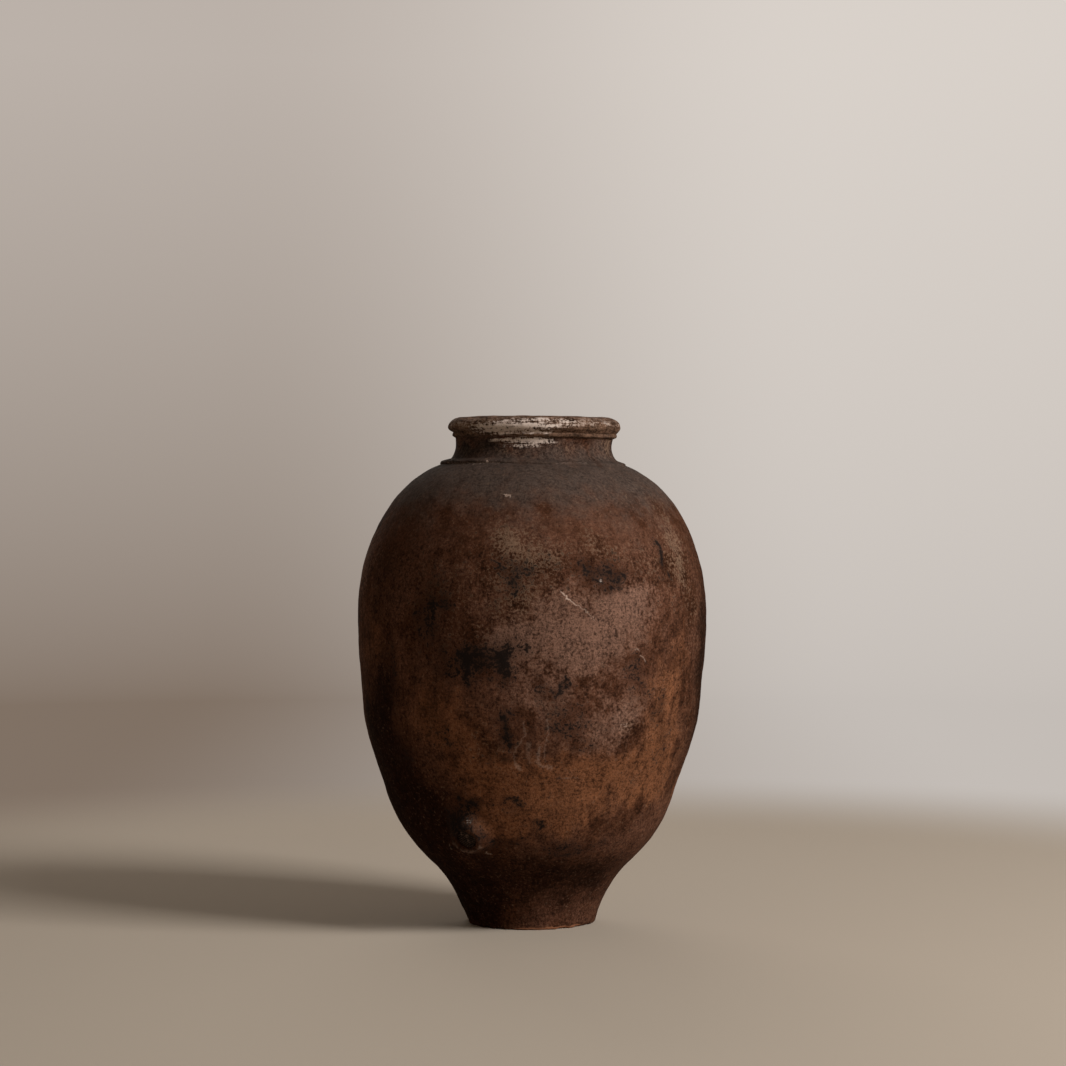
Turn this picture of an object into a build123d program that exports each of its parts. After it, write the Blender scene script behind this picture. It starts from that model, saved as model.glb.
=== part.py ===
from build123d import *

import os
from math import cos, radians, sin, tan

os.makedirs("parts", exist_ok=True)

# A big hand-built olive storage jar of fired clay, in millimetres.
# +Z is up, the origin is the centre of the foot's underside, and -Y is the front.
#
# The wall was raised in stages. A slab makes the floor, and each stage stands on a keyed seam
# that was scored and slurried. Each seam has an outside radius, a wall thickness, and an angle:
# how far the wall leans outwards there, in degrees from the vertical, minus where it closes in.

# The slab, with the edge that stands on the ground
FOOT_RADIUS = 115.0
FOOT_ANGLE = 13.0
FOOT_EDGE = 3.0             # worn off the edge that meets the ground
SLAB_RISE = 30.0            # from the ground to the slab's seam
SLAB_SPREAD = 8.5           # how far its seam is out from the foot's radius
SLAB_ANGLE = 21.0
SLAB_WALL = 27.0
FLOOR_THICKNESS = 26.0
FLOOR_RADIUS = 58.0         # flat of the floor inside, before it turns up into the wall

# The stages of the wall, each from the seam below it. The insets are how far the seams are in
# from the fullest line.
BELLY_RADIUS = 311.0
FOOT_RISE = 80.0
FOOT_TOP_SPREAD = 61.5      # how far the top of the foot is out from its own radius
FOOT_TOP_ANGLE = 48.5
FOOT_TOP_WALL = 26.0
BOWL_RISE = 125.0
BOWL_INSET = 55.0
BOWL_ANGLE = 16.0
BOWL_WALL = 24.0
LOWER_WALL_RISE = 155.0
LOWER_WALL_INSET = 11.0
LOWER_WALL_ANGLE = 3.5
LOWER_WALL_THICKNESS = 23.0
LOWER_BELLY_RISE = 162.0
BELLY_ANGLE = 0.0
BELLY_WALL = 22.0
UPPER_BELLY_RISE = 183.0
SHOULDER_INSET = 51.0
SHOULDER_ANGLE = -33.0
SHOULDER_WALL = 22.0
SHOULDER_RISE = 87.5
SHOULDER_TOP_ANGLE = -76.5
SHOULDER_EDGE = 22.0        # clay left under the neck
KEY_HEIGHT = 5.0            # how far the ridge of a seam stands into the groove above it

# The mouth: a straight throat inside a waisted neck with a rolled lip. The spreads are how far
# each part stands out from the waist.
NECK_RADIUS = 138.5         # at the waist
NECK_WALL = 23.5
THROAT_ROUND = 10.0         # under the shoulder's inner edge
NECK_FOOT_SPREAD = 8.5
NECK_FOOT_ANGLE = -52.0
NECK_WAIST_RISE = 26.0
NECK_RISE = 36.0
NECK_TOP_SPREAD = 1.5
NECK_TOP_ANGLE = 16.0
NECK_KEY_HEIGHT = 4.0
RING_WIDTH = 16.5           # the flat coil round the foot of the neck
RING_THICKNESS = 5.5
RING_EDGE = 2.0             # pressed off its outer corner
BEAD_SPREAD = 7.7           # the small bead under the lip
BEAD_HEIGHT = 8.5
GROOVE_SPREAD = 5.7         # the groove between the bead and the lip
LIP_SPREAD = 14.5
LIP_ANGLE = 60.0            # where the lip leaves the groove
LIP_RISE = 13.5             # from the groove to the fullest part of the lip
LIP_HEIGHT = 33.0           # from the groove to the top
LAND_WIDTH = 11.0           # the flat on top that a lid lies on
LIP_ROUND = 8.0             # from the land into the throat

# The tap: a raised boss low on the wall with a tapered hole, stopped by a bung
TAP_TURN = 26.6             # from the front, clockwise as seen from above
TAP_RISE = 70.0             # from the seam at the top of the foot
BOSS_BASE_RADIUS = 37.0
BOSS_ANGLE = 50.0           # how far the boss's side leans in where it leaves the wall
BOSS_HEIGHT = 20.0
BOSS_ROOT = 12.0            # how deep in the wall the boss's outline starts
COLLAR_RADIUS = 27.5
COLLAR_ROUND = 6.0
HOLE_RADIUS = 18.0          # where the hole opens in the collar
HOLE_TAPER = 4.0            # slope of the hole's wall, in degrees
BUNG_CLEARANCE = 0.3
BUNG_RECESS = 5.0           # from the collar's face down to the bung
BUNG_TAIL = 5.0             # past the inside of the wall
BUNG_EDGE = 1.5


def up_wall(angle):
    """Direction up a wall that leans outwards by this many degrees."""
    return Vector(sin(radians(angle)), cos(radians(angle)))


class Seam:
    """A keyed joint between two stages, in the jar's half section: X is radius, Y is height."""

    def __init__(self, radius, height, angle, wall):
        inwards = Vector(-cos(radians(angle)), sin(radians(angle)))
        self.up = up_wall(angle)
        self.down = self.up * -1
        self.outer = Vector(radius, height)
        self.inner = self.outer + inwards * wall
        self.key = (self.outer + self.inner) * 0.5 + self.up * KEY_HEIGHT


slab_top = Seam(FOOT_RADIUS + SLAB_SPREAD, SLAB_RISE, SLAB_ANGLE, SLAB_WALL)
foot_top = Seam(
    FOOT_RADIUS + FOOT_TOP_SPREAD, slab_top.outer.Y + FOOT_RISE, FOOT_TOP_ANGLE, FOOT_TOP_WALL
)
bowl_top = Seam(BELLY_RADIUS - BOWL_INSET, foot_top.outer.Y + BOWL_RISE, BOWL_ANGLE, BOWL_WALL)
lower_wall_top = Seam(
    BELLY_RADIUS - LOWER_WALL_INSET,
    bowl_top.outer.Y + LOWER_WALL_RISE,
    LOWER_WALL_ANGLE,
    LOWER_WALL_THICKNESS,
)
belly_line = Seam(BELLY_RADIUS, lower_wall_top.outer.Y + LOWER_BELLY_RISE, BELLY_ANGLE, BELLY_WALL)
shoulder_line = Seam(
    BELLY_RADIUS - SHOULDER_INSET,
    belly_line.outer.Y + UPPER_BELLY_RISE,
    SHOULDER_ANGLE,
    SHOULDER_WALL,
)

throat_radius = NECK_RADIUS - NECK_WALL
neck_foot_radius = NECK_RADIUS + NECK_FOOT_SPREAD
neck_top_radius = NECK_RADIUS + NECK_TOP_SPREAD
shoulder_top = shoulder_line.outer.Y + SHOULDER_RISE
neck_top = shoulder_top + NECK_RISE
groove_height = neck_top + BEAD_HEIGHT
rim_height = groove_height + LIP_HEIGHT


def outside(lower, upper):
    """Outside curve of one stage, which follows the angles of its two seams."""
    return Spline(lower.outer, upper.outer, tangents=(lower.up, upper.up))


def shoulder_outside():
    """Outside curve of the shoulder, up to the foot of the neck."""
    return Spline(
        shoulder_line.outer,
        (neck_foot_radius, shoulder_top),
        tangents=(shoulder_line.up, up_wall(SHOULDER_TOP_ANGLE)),
    )


def throat_seam(radius, height):
    """Level keyed seam from the outside in to the throat."""
    middle = ((radius + throat_radius) / 2, height + NECK_KEY_HEIGHT)
    return Polyline((radius, height), middle, (throat_radius, height))


def wall_section(lower, upper):
    """Half section of one stage of the wall, with a groove below and a ridge above."""
    with BuildSketch() as section:
        with BuildLine():
            outside(lower, upper)
            Polyline(upper.outer, upper.key, upper.inner)
            Spline(upper.inner, lower.inner, tangents=(upper.down, lower.down))
            Polyline(lower.inner, lower.key, lower.outer)
        make_face()
    return section.sketch


def shoulder_section():
    """Half section of the shoulder, which closes in to the throat."""
    underside = shoulder_top - SHOULDER_EDGE
    throat_start = (throat_radius, underside + THROAT_ROUND)
    round_end = (throat_radius + THROAT_ROUND, underside)
    with BuildSketch() as section:
        with BuildLine():
            shoulder_outside()
            throat_seam(neck_foot_radius, shoulder_top)
            Line((throat_radius, shoulder_top), throat_start)
            TangentArc(throat_start, round_end, tangent=(0, -1))
            Spline(round_end, shoulder_line.inner, tangents=((1, 0), shoulder_line.down))
            Polyline(shoulder_line.inner, shoulder_line.key, shoulder_line.outer)
        make_face()
    return section.sketch


def neck_section():
    """Half section of the neck, waisted outside and straight inside."""
    foot = (neck_foot_radius, shoulder_top)
    waist = (NECK_RADIUS, shoulder_top + NECK_WAIST_RISE)
    top = (neck_top_radius, neck_top)
    with BuildSketch() as section:
        with BuildLine():
            Spline(foot, waist, tangents=(up_wall(NECK_FOOT_ANGLE), (0, 1)))
            Spline(waist, top, tangents=((0, 1), up_wall(NECK_TOP_ANGLE)))
            throat_seam(neck_top_radius, neck_top)
            Line((throat_radius, neck_top), (throat_radius, shoulder_top))
            throat_seam(neck_foot_radius, shoulder_top)
        make_face()
    return section.sketch


# The slab is the jar's floor: flat underneath, and dished up into the wall inside
with BuildPart() as base_slab:
    with BuildSketch(Plane.XZ):
        floor_edge = (FLOOR_RADIUS, FLOOR_THICKNESS)
        with BuildLine():
            Spline((FOOT_RADIUS, 0), slab_top.outer, tangents=(up_wall(FOOT_ANGLE), slab_top.up))
            Polyline(slab_top.outer, slab_top.key, slab_top.inner)
            Spline(slab_top.inner, floor_edge, tangents=(slab_top.down, (-1, 0)))
            Polyline(floor_edge, (0, FLOOR_THICKNESS), (0, 0), (FOOT_RADIUS, 0))
        make_face()
    revolve(axis=Axis.Z)
    chamfer(base_slab.faces().sort_by(Axis.Z)[0].edges(), FOOT_EDGE)
base_slab.part.label = "base_slab"
export_step(base_slab.part, "parts/base_slab.step")

# The flared foot
with BuildPart() as foot:
    with BuildSketch(Plane.XZ):
        add(wall_section(slab_top, foot_top))
    revolve(axis=Axis.Z)
foot.part.label = "foot"
export_step(foot.part, "parts/foot.step")

# The tap's axis stands square to the wall of the lower bowl. In its section plane, X is the
# distance from the axis and Y is the height above the outside of the wall.
bowl_outside = outside(foot_top, bowl_top)
tap_level = Axis((0, foot_top.outer.Y + TAP_RISE, 0), (1, 0, 0))
tap_spot = bowl_outside.find_intersection_points(tap_level)[0]
tap_slope = bowl_outside.tangent_at(tap_spot)
tap_side = Vector(-sin(radians(TAP_TURN)), -cos(radians(TAP_TURN)), 0)
tap_out = tap_side * tap_slope.Y - Vector(0, 0, 1) * tap_slope.X
tap_across = tap_side.cross(Vector(0, 0, 1))
tap_centre = tap_side * tap_spot.X + Vector(0, 0, 1) * tap_spot.Y
tap_axis = Axis(tap_centre, tap_out)
tap_section = Plane(tap_centre, x_dir=tap_across, z_dir=tap_across.cross(tap_out))
tap_wall = max(FOOT_TOP_WALL, BOWL_WALL)


def tapered_section(start, end, gap=0.0):
    """Half section of what fills the tapered hole from start to end, less a gap all round."""
    slope = tan(radians(HOLE_TAPER))
    start_radius = HOLE_RADIUS - gap - (BOSS_HEIGHT - start) * slope
    end_radius = HOLE_RADIUS - gap - (BOSS_HEIGHT - end) * slope
    with BuildSketch() as section:
        with BuildLine():
            Polyline((0, start), (start_radius, start), (end_radius, end), (0, end), close=True)
        make_face()
    return section.sketch


def tap_hole_section():
    """Half section of the tapered hole, from well inside the jar to clear of the collar."""
    return tapered_section(-2 * tap_wall, 2 * BOSS_HEIGHT)


# The lower bowl, pierced for the tap
with BuildPart() as lower_bowl:
    with BuildSketch(Plane.XZ):
        add(wall_section(foot_top, bowl_top))
    revolve(axis=Axis.Z)
    with BuildSketch(tap_section):
        add(tap_hole_section())
    revolve(axis=tap_axis, mode=Mode.SUBTRACT)
lower_bowl.part.label = "lower_bowl"
export_step(lower_bowl.part, "parts/lower_bowl.step")

# The three stages that make the egg-shaped body
with BuildPart() as lower_wall:
    with BuildSketch(Plane.XZ):
        add(wall_section(bowl_top, lower_wall_top))
    revolve(axis=Axis.Z)
lower_wall.part.label = "lower_wall"
export_step(lower_wall.part, "parts/lower_wall.step")

with BuildPart() as lower_belly:
    with BuildSketch(Plane.XZ):
        add(wall_section(lower_wall_top, belly_line))
    revolve(axis=Axis.Z)
lower_belly.part.label = "lower_belly"
export_step(lower_belly.part, "parts/lower_belly.step")

with BuildPart() as upper_belly:
    with BuildSketch(Plane.XZ):
        add(wall_section(belly_line, shoulder_line))
    revolve(axis=Axis.Z)
upper_belly.part.label = "upper_belly"
export_step(upper_belly.part, "parts/upper_belly.step")

# The shoulder, which closes the jar in to its throat
with BuildPart() as shoulder:
    with BuildSketch(Plane.XZ):
        add(shoulder_section())
    revolve(axis=Axis.Z)
shoulder.part.label = "shoulder"
export_step(shoulder.part, "parts/shoulder.step")

# The neck, which stands on the shoulder's inner edge
with BuildPart() as neck:
    with BuildSketch(Plane.XZ):
        add(neck_section())
    revolve(axis=Axis.Z)
neck.part.label = "neck"
export_step(neck.part, "parts/neck.step")

# The flat coil pressed into the corner between the neck and the shoulder
ring_radius = neck_foot_radius + RING_WIDTH
ring_line = Axis((ring_radius, 0, 0), (0, 1, 0))
ring_seat = shoulder_outside().find_intersection_points(ring_line)[0].Y
with BuildPart() as neck_ring:
    with BuildSketch(Plane.XZ) as ring_section:
        with BuildLine():
            Polyline(
                (ring_radius, ring_seat - RING_THICKNESS),
                (ring_radius, ring_seat + RING_THICKNESS),
                (NECK_RADIUS, shoulder_top + RING_THICKNESS),
                (NECK_RADIUS, shoulder_top - RING_THICKNESS),
                close=True,
            )
        make_face()
        outer_corners = ring_section.vertices().group_by(Axis.X)[-1]
        chamfer(outer_corners.sort_by(Axis.Y)[-1], RING_EDGE)
    revolve(axis=Axis.Z)
    with BuildSketch(Plane.XZ):
        add(shoulder_section())
        add(neck_section())
    revolve(axis=Axis.Z, mode=Mode.SUBTRACT)
neck_ring.part.label = "neck_ring"
export_step(neck_ring.part, "parts/neck_ring.step")

# The rim: a small bead, a groove, the rolled lip, the land that a lid lies on, and the throat
with BuildPart() as rim:
    with BuildSketch(Plane.XZ):
        bead_middle = (NECK_RADIUS + BEAD_SPREAD, neck_top + BEAD_HEIGHT / 2)
        groove = (NECK_RADIUS + GROOVE_SPREAD, groove_height)
        lip = (NECK_RADIUS + LIP_SPREAD, groove_height + LIP_RISE)
        land_inner = (throat_radius + LIP_ROUND, rim_height)
        land_outer = (throat_radius + LIP_ROUND + LAND_WIDTH, rim_height)
        throat_top = (throat_radius, rim_height - LIP_ROUND)
        with BuildLine():
            ThreePointArc((neck_top_radius, neck_top), bead_middle, groove)
            Spline(groove, lip, tangents=(up_wall(LIP_ANGLE), (0, 1)))
            Spline(lip, land_outer, tangents=((0, 1), (-1, 0)))
            Line(land_outer, land_inner)
            TangentArc(land_inner, throat_top, tangent=(-1, 0))
            Line(throat_top, (throat_radius, neck_top))
            throat_seam(neck_top_radius, neck_top)
        make_face()
    revolve(axis=Axis.Z)
rim.part.label = "rim"
export_step(rim.part, "parts/rim.step")

# The tap's boss, pressed onto the finished wall, with the hole through it. The wall falls away
# from the boss's base by the sag of its curve.
base_sag = BOSS_BASE_RADIUS**2 / (2 * tap_spot.X)
with BuildPart() as tap_boss:
    with BuildSketch(tap_section):
        base_edge = (BOSS_BASE_RADIUS, -base_sag)
        collar_edge = (COLLAR_RADIUS, BOSS_HEIGHT - COLLAR_ROUND)
        face_edge = (COLLAR_RADIUS - COLLAR_ROUND, BOSS_HEIGHT)
        with BuildLine():
            Polyline((0, -BOSS_ROOT), (BOSS_BASE_RADIUS, -BOSS_ROOT), base_edge)
            Spline(base_edge, collar_edge, tangents=(up_wall(-BOSS_ANGLE), (0, 1)))
            TangentArc(collar_edge, face_edge, tangent=(0, 1))
            Polyline(face_edge, (0, BOSS_HEIGHT), (0, -BOSS_ROOT))
        make_face()
    revolve(axis=tap_axis)
    with BuildSketch(Plane.XZ):
        add(wall_section(foot_top, bowl_top))
        add(wall_section(bowl_top, lower_wall_top))
    revolve(axis=Axis.Z, mode=Mode.SUBTRACT)
    with BuildSketch(tap_section):
        add(tap_hole_section())
    revolve(axis=tap_axis, mode=Mode.SUBTRACT)
tap_boss.part.label = "tap_boss"
export_step(tap_boss.part, "parts/tap_boss.step")

# The bung, a tapered wooden plug that is driven in past the collar's face
with BuildPart() as bung:
    with BuildSketch(tap_section):
        add(tapered_section(-tap_wall - BUNG_TAIL, BOSS_HEIGHT - BUNG_RECESS, BUNG_CLEARANCE))
    revolve(axis=tap_axis)
    chamfer(bung.edges().filter_by(GeomType.CIRCLE), BUNG_EDGE)
bung.part.label = "bung"
export_step(bung.part, "parts/bung.step")
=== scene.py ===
"""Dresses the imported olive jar: hand-worked clay over each stage, its tap and bung, in a plain pale studio.

Lengths are in metres. +Z is up, -Y is the front, and a turn is measured in degrees round from the
front towards the viewer's right.
"""

import logging
import math
import random
from collections.abc import Callable, Sequence
from dataclasses import dataclass, field
from enum import Enum

import bmesh
import bpy
import numpy as np
from bpy.types import Material, Mesh, Node, NodeSocket, Object
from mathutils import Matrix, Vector, noise
from mathutils.bvhtree import BVHTree
from mathutils.geometry import interpolate_bezier


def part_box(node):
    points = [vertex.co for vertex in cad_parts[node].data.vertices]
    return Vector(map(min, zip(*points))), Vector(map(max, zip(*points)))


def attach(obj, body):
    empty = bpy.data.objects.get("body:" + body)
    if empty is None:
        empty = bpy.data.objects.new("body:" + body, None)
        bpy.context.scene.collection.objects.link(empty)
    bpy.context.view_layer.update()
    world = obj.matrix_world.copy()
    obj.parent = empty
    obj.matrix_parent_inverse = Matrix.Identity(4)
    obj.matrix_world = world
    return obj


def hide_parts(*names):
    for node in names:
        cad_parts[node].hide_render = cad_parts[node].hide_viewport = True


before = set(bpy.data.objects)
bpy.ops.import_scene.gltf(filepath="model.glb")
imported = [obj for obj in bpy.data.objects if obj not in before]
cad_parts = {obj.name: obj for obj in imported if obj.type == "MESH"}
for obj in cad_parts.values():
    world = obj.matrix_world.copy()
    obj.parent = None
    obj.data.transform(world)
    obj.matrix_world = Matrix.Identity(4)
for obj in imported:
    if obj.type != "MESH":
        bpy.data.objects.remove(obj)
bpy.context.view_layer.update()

MM = 0.001
SECTORS = 28  # of a ring of clay
SECTOR_FACES = 30
NOISE_SEED = 5
OUTSIDE_STEP = 2.6 * MM  # between rows on the surface that shows
INSIDE_STEP = 9.0 * MM
THROAT_STEP = 4.0 * MM
MERGE_WITHIN = 0.01 * MM
CURVE_SLACK = 1.05  # how much longer than its chord a curve may be

log = logging.getLogger("olive_jar")

Array = np.ndarray
Colour = tuple[float, float, float]
Flow = NodeSocket | Sequence[float]  # what a vector or colour socket takes


# ---------------------------------------------------------------- the drawn form


def half_width(node: str) -> float:
    """Returns the largest radius of a turned CAD node."""
    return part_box(node)[1].x


def underside(node: str) -> float:
    """Returns the height at which a CAD node starts."""
    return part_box(node)[0].z


def up_wall(angle: float) -> Vector:
    """Returns the direction up a wall that leans outwards by this many degrees."""
    return Vector((math.sin(math.radians(angle)), 0.0, math.cos(math.radians(angle))))


@dataclass(frozen=True)
class Seam:
    """A level at which two stages of the wall meet, square to the wall."""

    radius: float
    height: float
    angle: float
    wall: float

    @property
    def up(self) -> Vector:
        """Returns the direction of the outside going up."""
        return up_wall(self.angle)

    @property
    def outer(self) -> Vector:
        """Returns the seam's outside corner in the half section."""
        return Vector((self.radius, 0.0, self.height))

    @property
    def inner(self) -> Vector:
        """Returns the seam's inside corner in the half section."""
        return self.outer + Vector((-self.up.z, 0.0, self.up.x)) * self.wall


def curve(start: Vector, leaving: Vector, end: Vector, arriving: Vector, step: float) -> list[Vector]:
    """Draws a smooth curve in the half section.

    Args:
        start: First point.
        leaving: Unit direction of the curve at the start.
        end: Last point.
        arriving: Unit direction of the curve at the end.
        step: Largest distance between two points.

    Returns:
        The points, both ends included.
    """
    reach = (end - start).length
    count = max(3, math.ceil(reach * CURVE_SLACK / step) + 1)
    return interpolate_bezier(start, start + leaving * reach / 3, end - arriving * reach / 3, end, count)


def straight(start: Vector, end: Vector, step: float) -> list[Vector]:
    """Returns points along a straight line, both ends included, at most a step apart."""
    count = max(1, math.ceil((end - start).length / step))
    return [start.lerp(end, number / count) for number in range(count + 1)]


def folded(corners: Sequence[Vector], step: float) -> list[Vector]:
    """Returns points along straight lines from corner to corner, at most a step apart."""
    return chain(*[straight(a, b, step) for a, b in zip(corners, corners[1:])])


def chain(*runs: Sequence[Vector]) -> list[Vector]:
    """Joins runs of points end to end.

    Args:
        runs: Runs that each start where the one before ends.

    Returns:
        All the points, with each joint once.
    """
    points = list(runs[0])
    for run in runs[1:]:
        points += list(run)[1:]
    return points


# ---------------------------------------------------------------- the maker's hand


def on_wall(turn: float, height: float, radius: float) -> Vector:
    """Returns a point from its turn, and its height and its distance from the axis in millimetres."""
    angle = math.radians(turn)
    return Vector((math.sin(angle) * radius, -math.cos(angle) * radius, height)) * MM


@dataclass(frozen=True)
class Wave:
    """One scale of unevenness in hand-worked clay: a sum of seeded ripples that run every way."""

    size: float
    amount: float = 1.0
    seed: int = 5
    ripples: int = 14
    pitches: tuple[float, float] = (0.55, 1.35)

    def strays(self, points: Array) -> Array:
        """Returns a smooth random vector at each point.

        Args:
            points: Points, one a row.

        Returns:
            A vector for each, whose parts have this wave's amount as their usual size.
        """
        pick = np.random.default_rng([self.seed, round(self.size / (0.1 * MM))])
        ways = pick.normal(size=(3, self.ripples))
        pitches = pick.uniform(*self.pitches, self.ripples)
        ways *= math.tau / self.size * pitches / np.linalg.norm(ways, axis=0)
        angles = points @ ways
        shifts = pick.uniform(0.0, math.tau, (3, self.ripples))
        parts = [np.sin(angles + shift).sum(axis=1) for shift in shifts]
        return np.stack(parts, 1) * self.amount * math.sqrt(2.0 / self.ripples)


def ramp(values: Array, start: float, width: float) -> Array:
    """Returns 0 up to the start, 1 from a width past it, and a straight climb between."""
    return np.clip((values - start) / width, 0.0, 1.0)


def hump(values: Array, centre: float, spread: float | Array) -> Array:
    """Returns a bell curve's exponent: 0 at the centre, and -1 a spread away from it."""
    return -(((values - centre) / spread) ** 2)


@dataclass(frozen=True)
class Edge:
    """An edge that runs round the jar and chips, and how readily it does."""

    height: float
    tall: float
    radius: float
    wide: float
    share: float

    def nearness(self, height: Array, radius: Array) -> Array:
        """Returns how much the edge's wear reaches points at these heights and radii."""
        near = np.exp(hump(height, self.height, self.tall) + hump(radius, self.radius, self.wide))
        return self.share * near


@dataclass(frozen=True)
class Nick:
    """A place where an edge of the jar has lost some clay."""

    turn: float
    height: float
    size: float
    loss: float


@dataclass(frozen=True)
class HandWork:
    """How the clay strays from the drawn form: waves, a slightly crooked axis, a tilted bead and chips."""

    waves: tuple[Wave, ...] = (
        Wave(0.42, 0.60 * MM),
        Wave(0.15, 0.40 * MM),
        Wave(0.050, 0.20 * MM),
        Wave(0.019, 0.11 * MM),
    )
    settled_by: float = 12.0 * MM
    drift_heights: tuple[float, ...] = (0.0, 0.235, 0.395, 0.53, 0.66, 0.753, 0.84, 0.856, 0.868, 0.884)
    drift: tuple[float, ...] = (-0.0014, -0.0027, 0.0, 0.0016, 0.0, 0.0012, 0.0036, 0.0053, 0.0066, 0.0052)
    bead_level: float = 0.863
    bead_spread: float = 0.011
    bead_radius: float = 0.146
    bead_lift: float = 4.4 * MM
    bead_tilt: float = 2.2 * MM
    crown_level: float = 0.888
    crown_rise: float = 0.010
    crown_radius: float = 0.121
    crown_width: float = 0.016
    lip_wear: float = 2.6 * MM
    lip_wear_reach: float = 0.14
    front_wear: float = 2.4 * MM
    front_right_end: float = 0.005
    front_fade: float = 0.03
    front_depth: float = 0.08
    sag_level: float = 0.818
    sag_above: float = 0.020
    sag_below: float = 0.050
    sag_reach: float = 0.16
    sag: float = 4.4 * MM
    chipped_edges: tuple[Edge, ...] = (
        Edge(0.0, 0.007, 0.114, 0.012, 0.60),
        Edge(0.884, 0.008, 0.153, 0.006, 0.35),
        Edge(0.897, 0.006, 0.139, 0.010, 0.70),
    )
    chipping_from: float = 0.05
    flakes: Wave = Wave(0.030)
    flakes_from: float = 0.6
    flakes_over: float = 0.9
    chip_depth: float = 2.4 * MM
    foot_radius: float = 0.115
    lip_radius: float = 0.150
    foot_below: float = 0.1
    nicked_beyond: float = 0.080
    nick_bluntness: float = 1.25
    foot_lift: float = 0.6
    lip_drop: float = 0.5
    nicks: tuple[Nick, ...] = (
        Nick(-84, 0, 26 * MM, 4.5 * MM),
        Nick(30, 0, 12 * MM, 2.4 * MM),
        Nick(47, 0, 9 * MM, 2.2 * MM),
        Nick(118, 0, 14 * MM, 3.0 * MM),
        Nick(203, 0, 20 * MM, 3.5 * MM),
        Nick(24, 897, 9 * MM, 2.2 * MM),
        Nick(-12, 888, 8 * MM, 1.6 * MM),
        Nick(141, 893, 16 * MM, 4.0 * MM),
        Nick(236, 890, 11 * MM, 3.0 * MM),
    )

    def waved(self, drawn: Array) -> Array:
        """Moves drawn points by the waves.

        Args:
            drawn: Points of the true form, one a row.

        Returns:
            The moved points, which keep their height where they are near the ground.
        """
        settled = np.clip(drawn[:, 2] / self.settled_by, 0.0, 1.0)[:, None]
        moved = drawn.copy()
        for wave in self.waves:
            stray = wave.strays(drawn)
            stray[:, 2:] *= settled
            moved += stray
        return moved

    def rise(self, drawn: Array) -> Array:
        """Works out how the bead tilts, the lip is worn and the shoulder has sunk.

        Args:
            drawn: Points of the true form, one a row.

        Returns:
            How far each point has risen.
        """
        x, y, height = drawn.T
        at_bead = np.exp(hump(height, self.bead_level, self.bead_spread))
        rise = at_bead * (self.bead_lift - self.bead_tilt * x / self.bead_radius)
        crown = ramp(height, self.crown_level, self.crown_rise)
        crown *= ramp(np.hypot(x, y), self.crown_radius, self.crown_width)
        rise -= crown * self.lip_wear * ramp(x, 0.0, self.lip_wear_reach)
        front_left = ramp(-x, -self.front_right_end, self.front_fade) * ramp(-y, 0.0, self.front_depth)
        rise -= crown * self.front_wear * front_left
        spread = np.where(height > self.sag_level, self.sag_above, self.sag_below)
        return rise - np.exp(hump(height, self.sag_level, spread)) * self.sag * ramp(x, 0.0, self.sag_reach)

    def losses(self, drawn: Array, radius: Array) -> Array:
        """Works out how much clay has gone in flakes and nicks.

        Args:
            drawn: Points of the true form, one a row.
            radius: Distance of each from the jar's axis.

        Returns:
            The loss at each point.
        """
        loss = np.zeros(len(drawn))
        near = np.max([edge.nearness(drawn[:, 2], radius) for edge in self.chipped_edges], axis=0)
        chosen = near > self.chipping_from
        if chosen.any():
            flakes = self.flakes.strays(drawn[chosen])[:, 0]
            flaked = ramp(flakes, self.flakes_from, self.flakes_over)
            loss[chosen] = near[chosen] * self.chip_depth * flaked
        for nick in self.nicks:
            edge = self.foot_radius if nick.height * MM < self.foot_below else self.lip_radius
            place = np.array(on_wall(nick.turn, nick.height, edge / MM))
            away = np.linalg.norm(drawn - place, axis=1) / nick.size
            gone = np.clip(self.nick_bluntness - away**2, 0.0, 1.0) * (radius > self.nicked_beyond)
            loss = np.maximum(loss, nick.loss * gone)
        return loss

    def shaped(self, drawn: Array) -> Array:
        """Moves drawn points to where the maker's hand and wear left them.

        Args:
            drawn: Points of the true form, one a row.

        Returns:
            The moved points. Those on the ground stay on it, but where the foot is chipped.
        """
        moved = self.waved(drawn)
        height = drawn[:, 2]
        moved[:, 0] += np.interp(height, self.drift_heights, self.drift)
        moved[:, 2] += self.rise(drawn)
        radius = np.hypot(drawn[:, 0], drawn[:, 1])
        loss = self.losses(drawn, radius)
        gone = loss > 0
        moved[gone] -= drawn[gone] * [1, 1, 0] / radius[gone, None] * loss[gone, None]
        at_foot = height[gone] < self.foot_below
        moved[gone, 2] += loss[gone] * np.where(at_foot, self.foot_lift, -self.lip_drop)
        return moved


HAND = HandWork()


# ---------------------------------------------------------------- weathering, painted shade and painted highlights


class Mark(Enum):
    """What time has left on the clay, and the painted shade and highlights laid in with some of it. The value
    names the attribute that the finish reads.
    """

    SOOT_AND_SHADE = "soot"
    LIME_AND_HIGHLIGHT = "lime_and_highlight"
    WARM = "warm"
    BLOOM = "bloom"
    BUFF = "buff"
    DUST = "dust"
    DAMP_AND_SHADE = "damp"
    WEAR = "wear"


@dataclass(frozen=True)
class Stain:
    """A soft patch of one mark, which the finish breaks up. The sizes are half widths, in millimetres."""

    mark: Mark
    turn: float
    height: float
    wide: float
    tall: float
    strength: float = 1.0

    def weight(self, turn: Array, height: Array, radius: Array) -> Array:
        """Works out how strongly the stain marks each point.

        Args:
            turn: Degrees round from the front.
            height: Height of each point, in metres.
            radius: Distance of each point from the jar's axis, in metres.

        Returns:
            Its strength at each point.
        """
        round_by = (turn - self.turn + 180.0) % 360.0 - 180.0
        across = np.radians(round_by) * radius / MM
        far = hump(across, 0.0, self.wide) + hump(height / MM, self.height, self.tall)
        return self.strength * np.exp(far)


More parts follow.
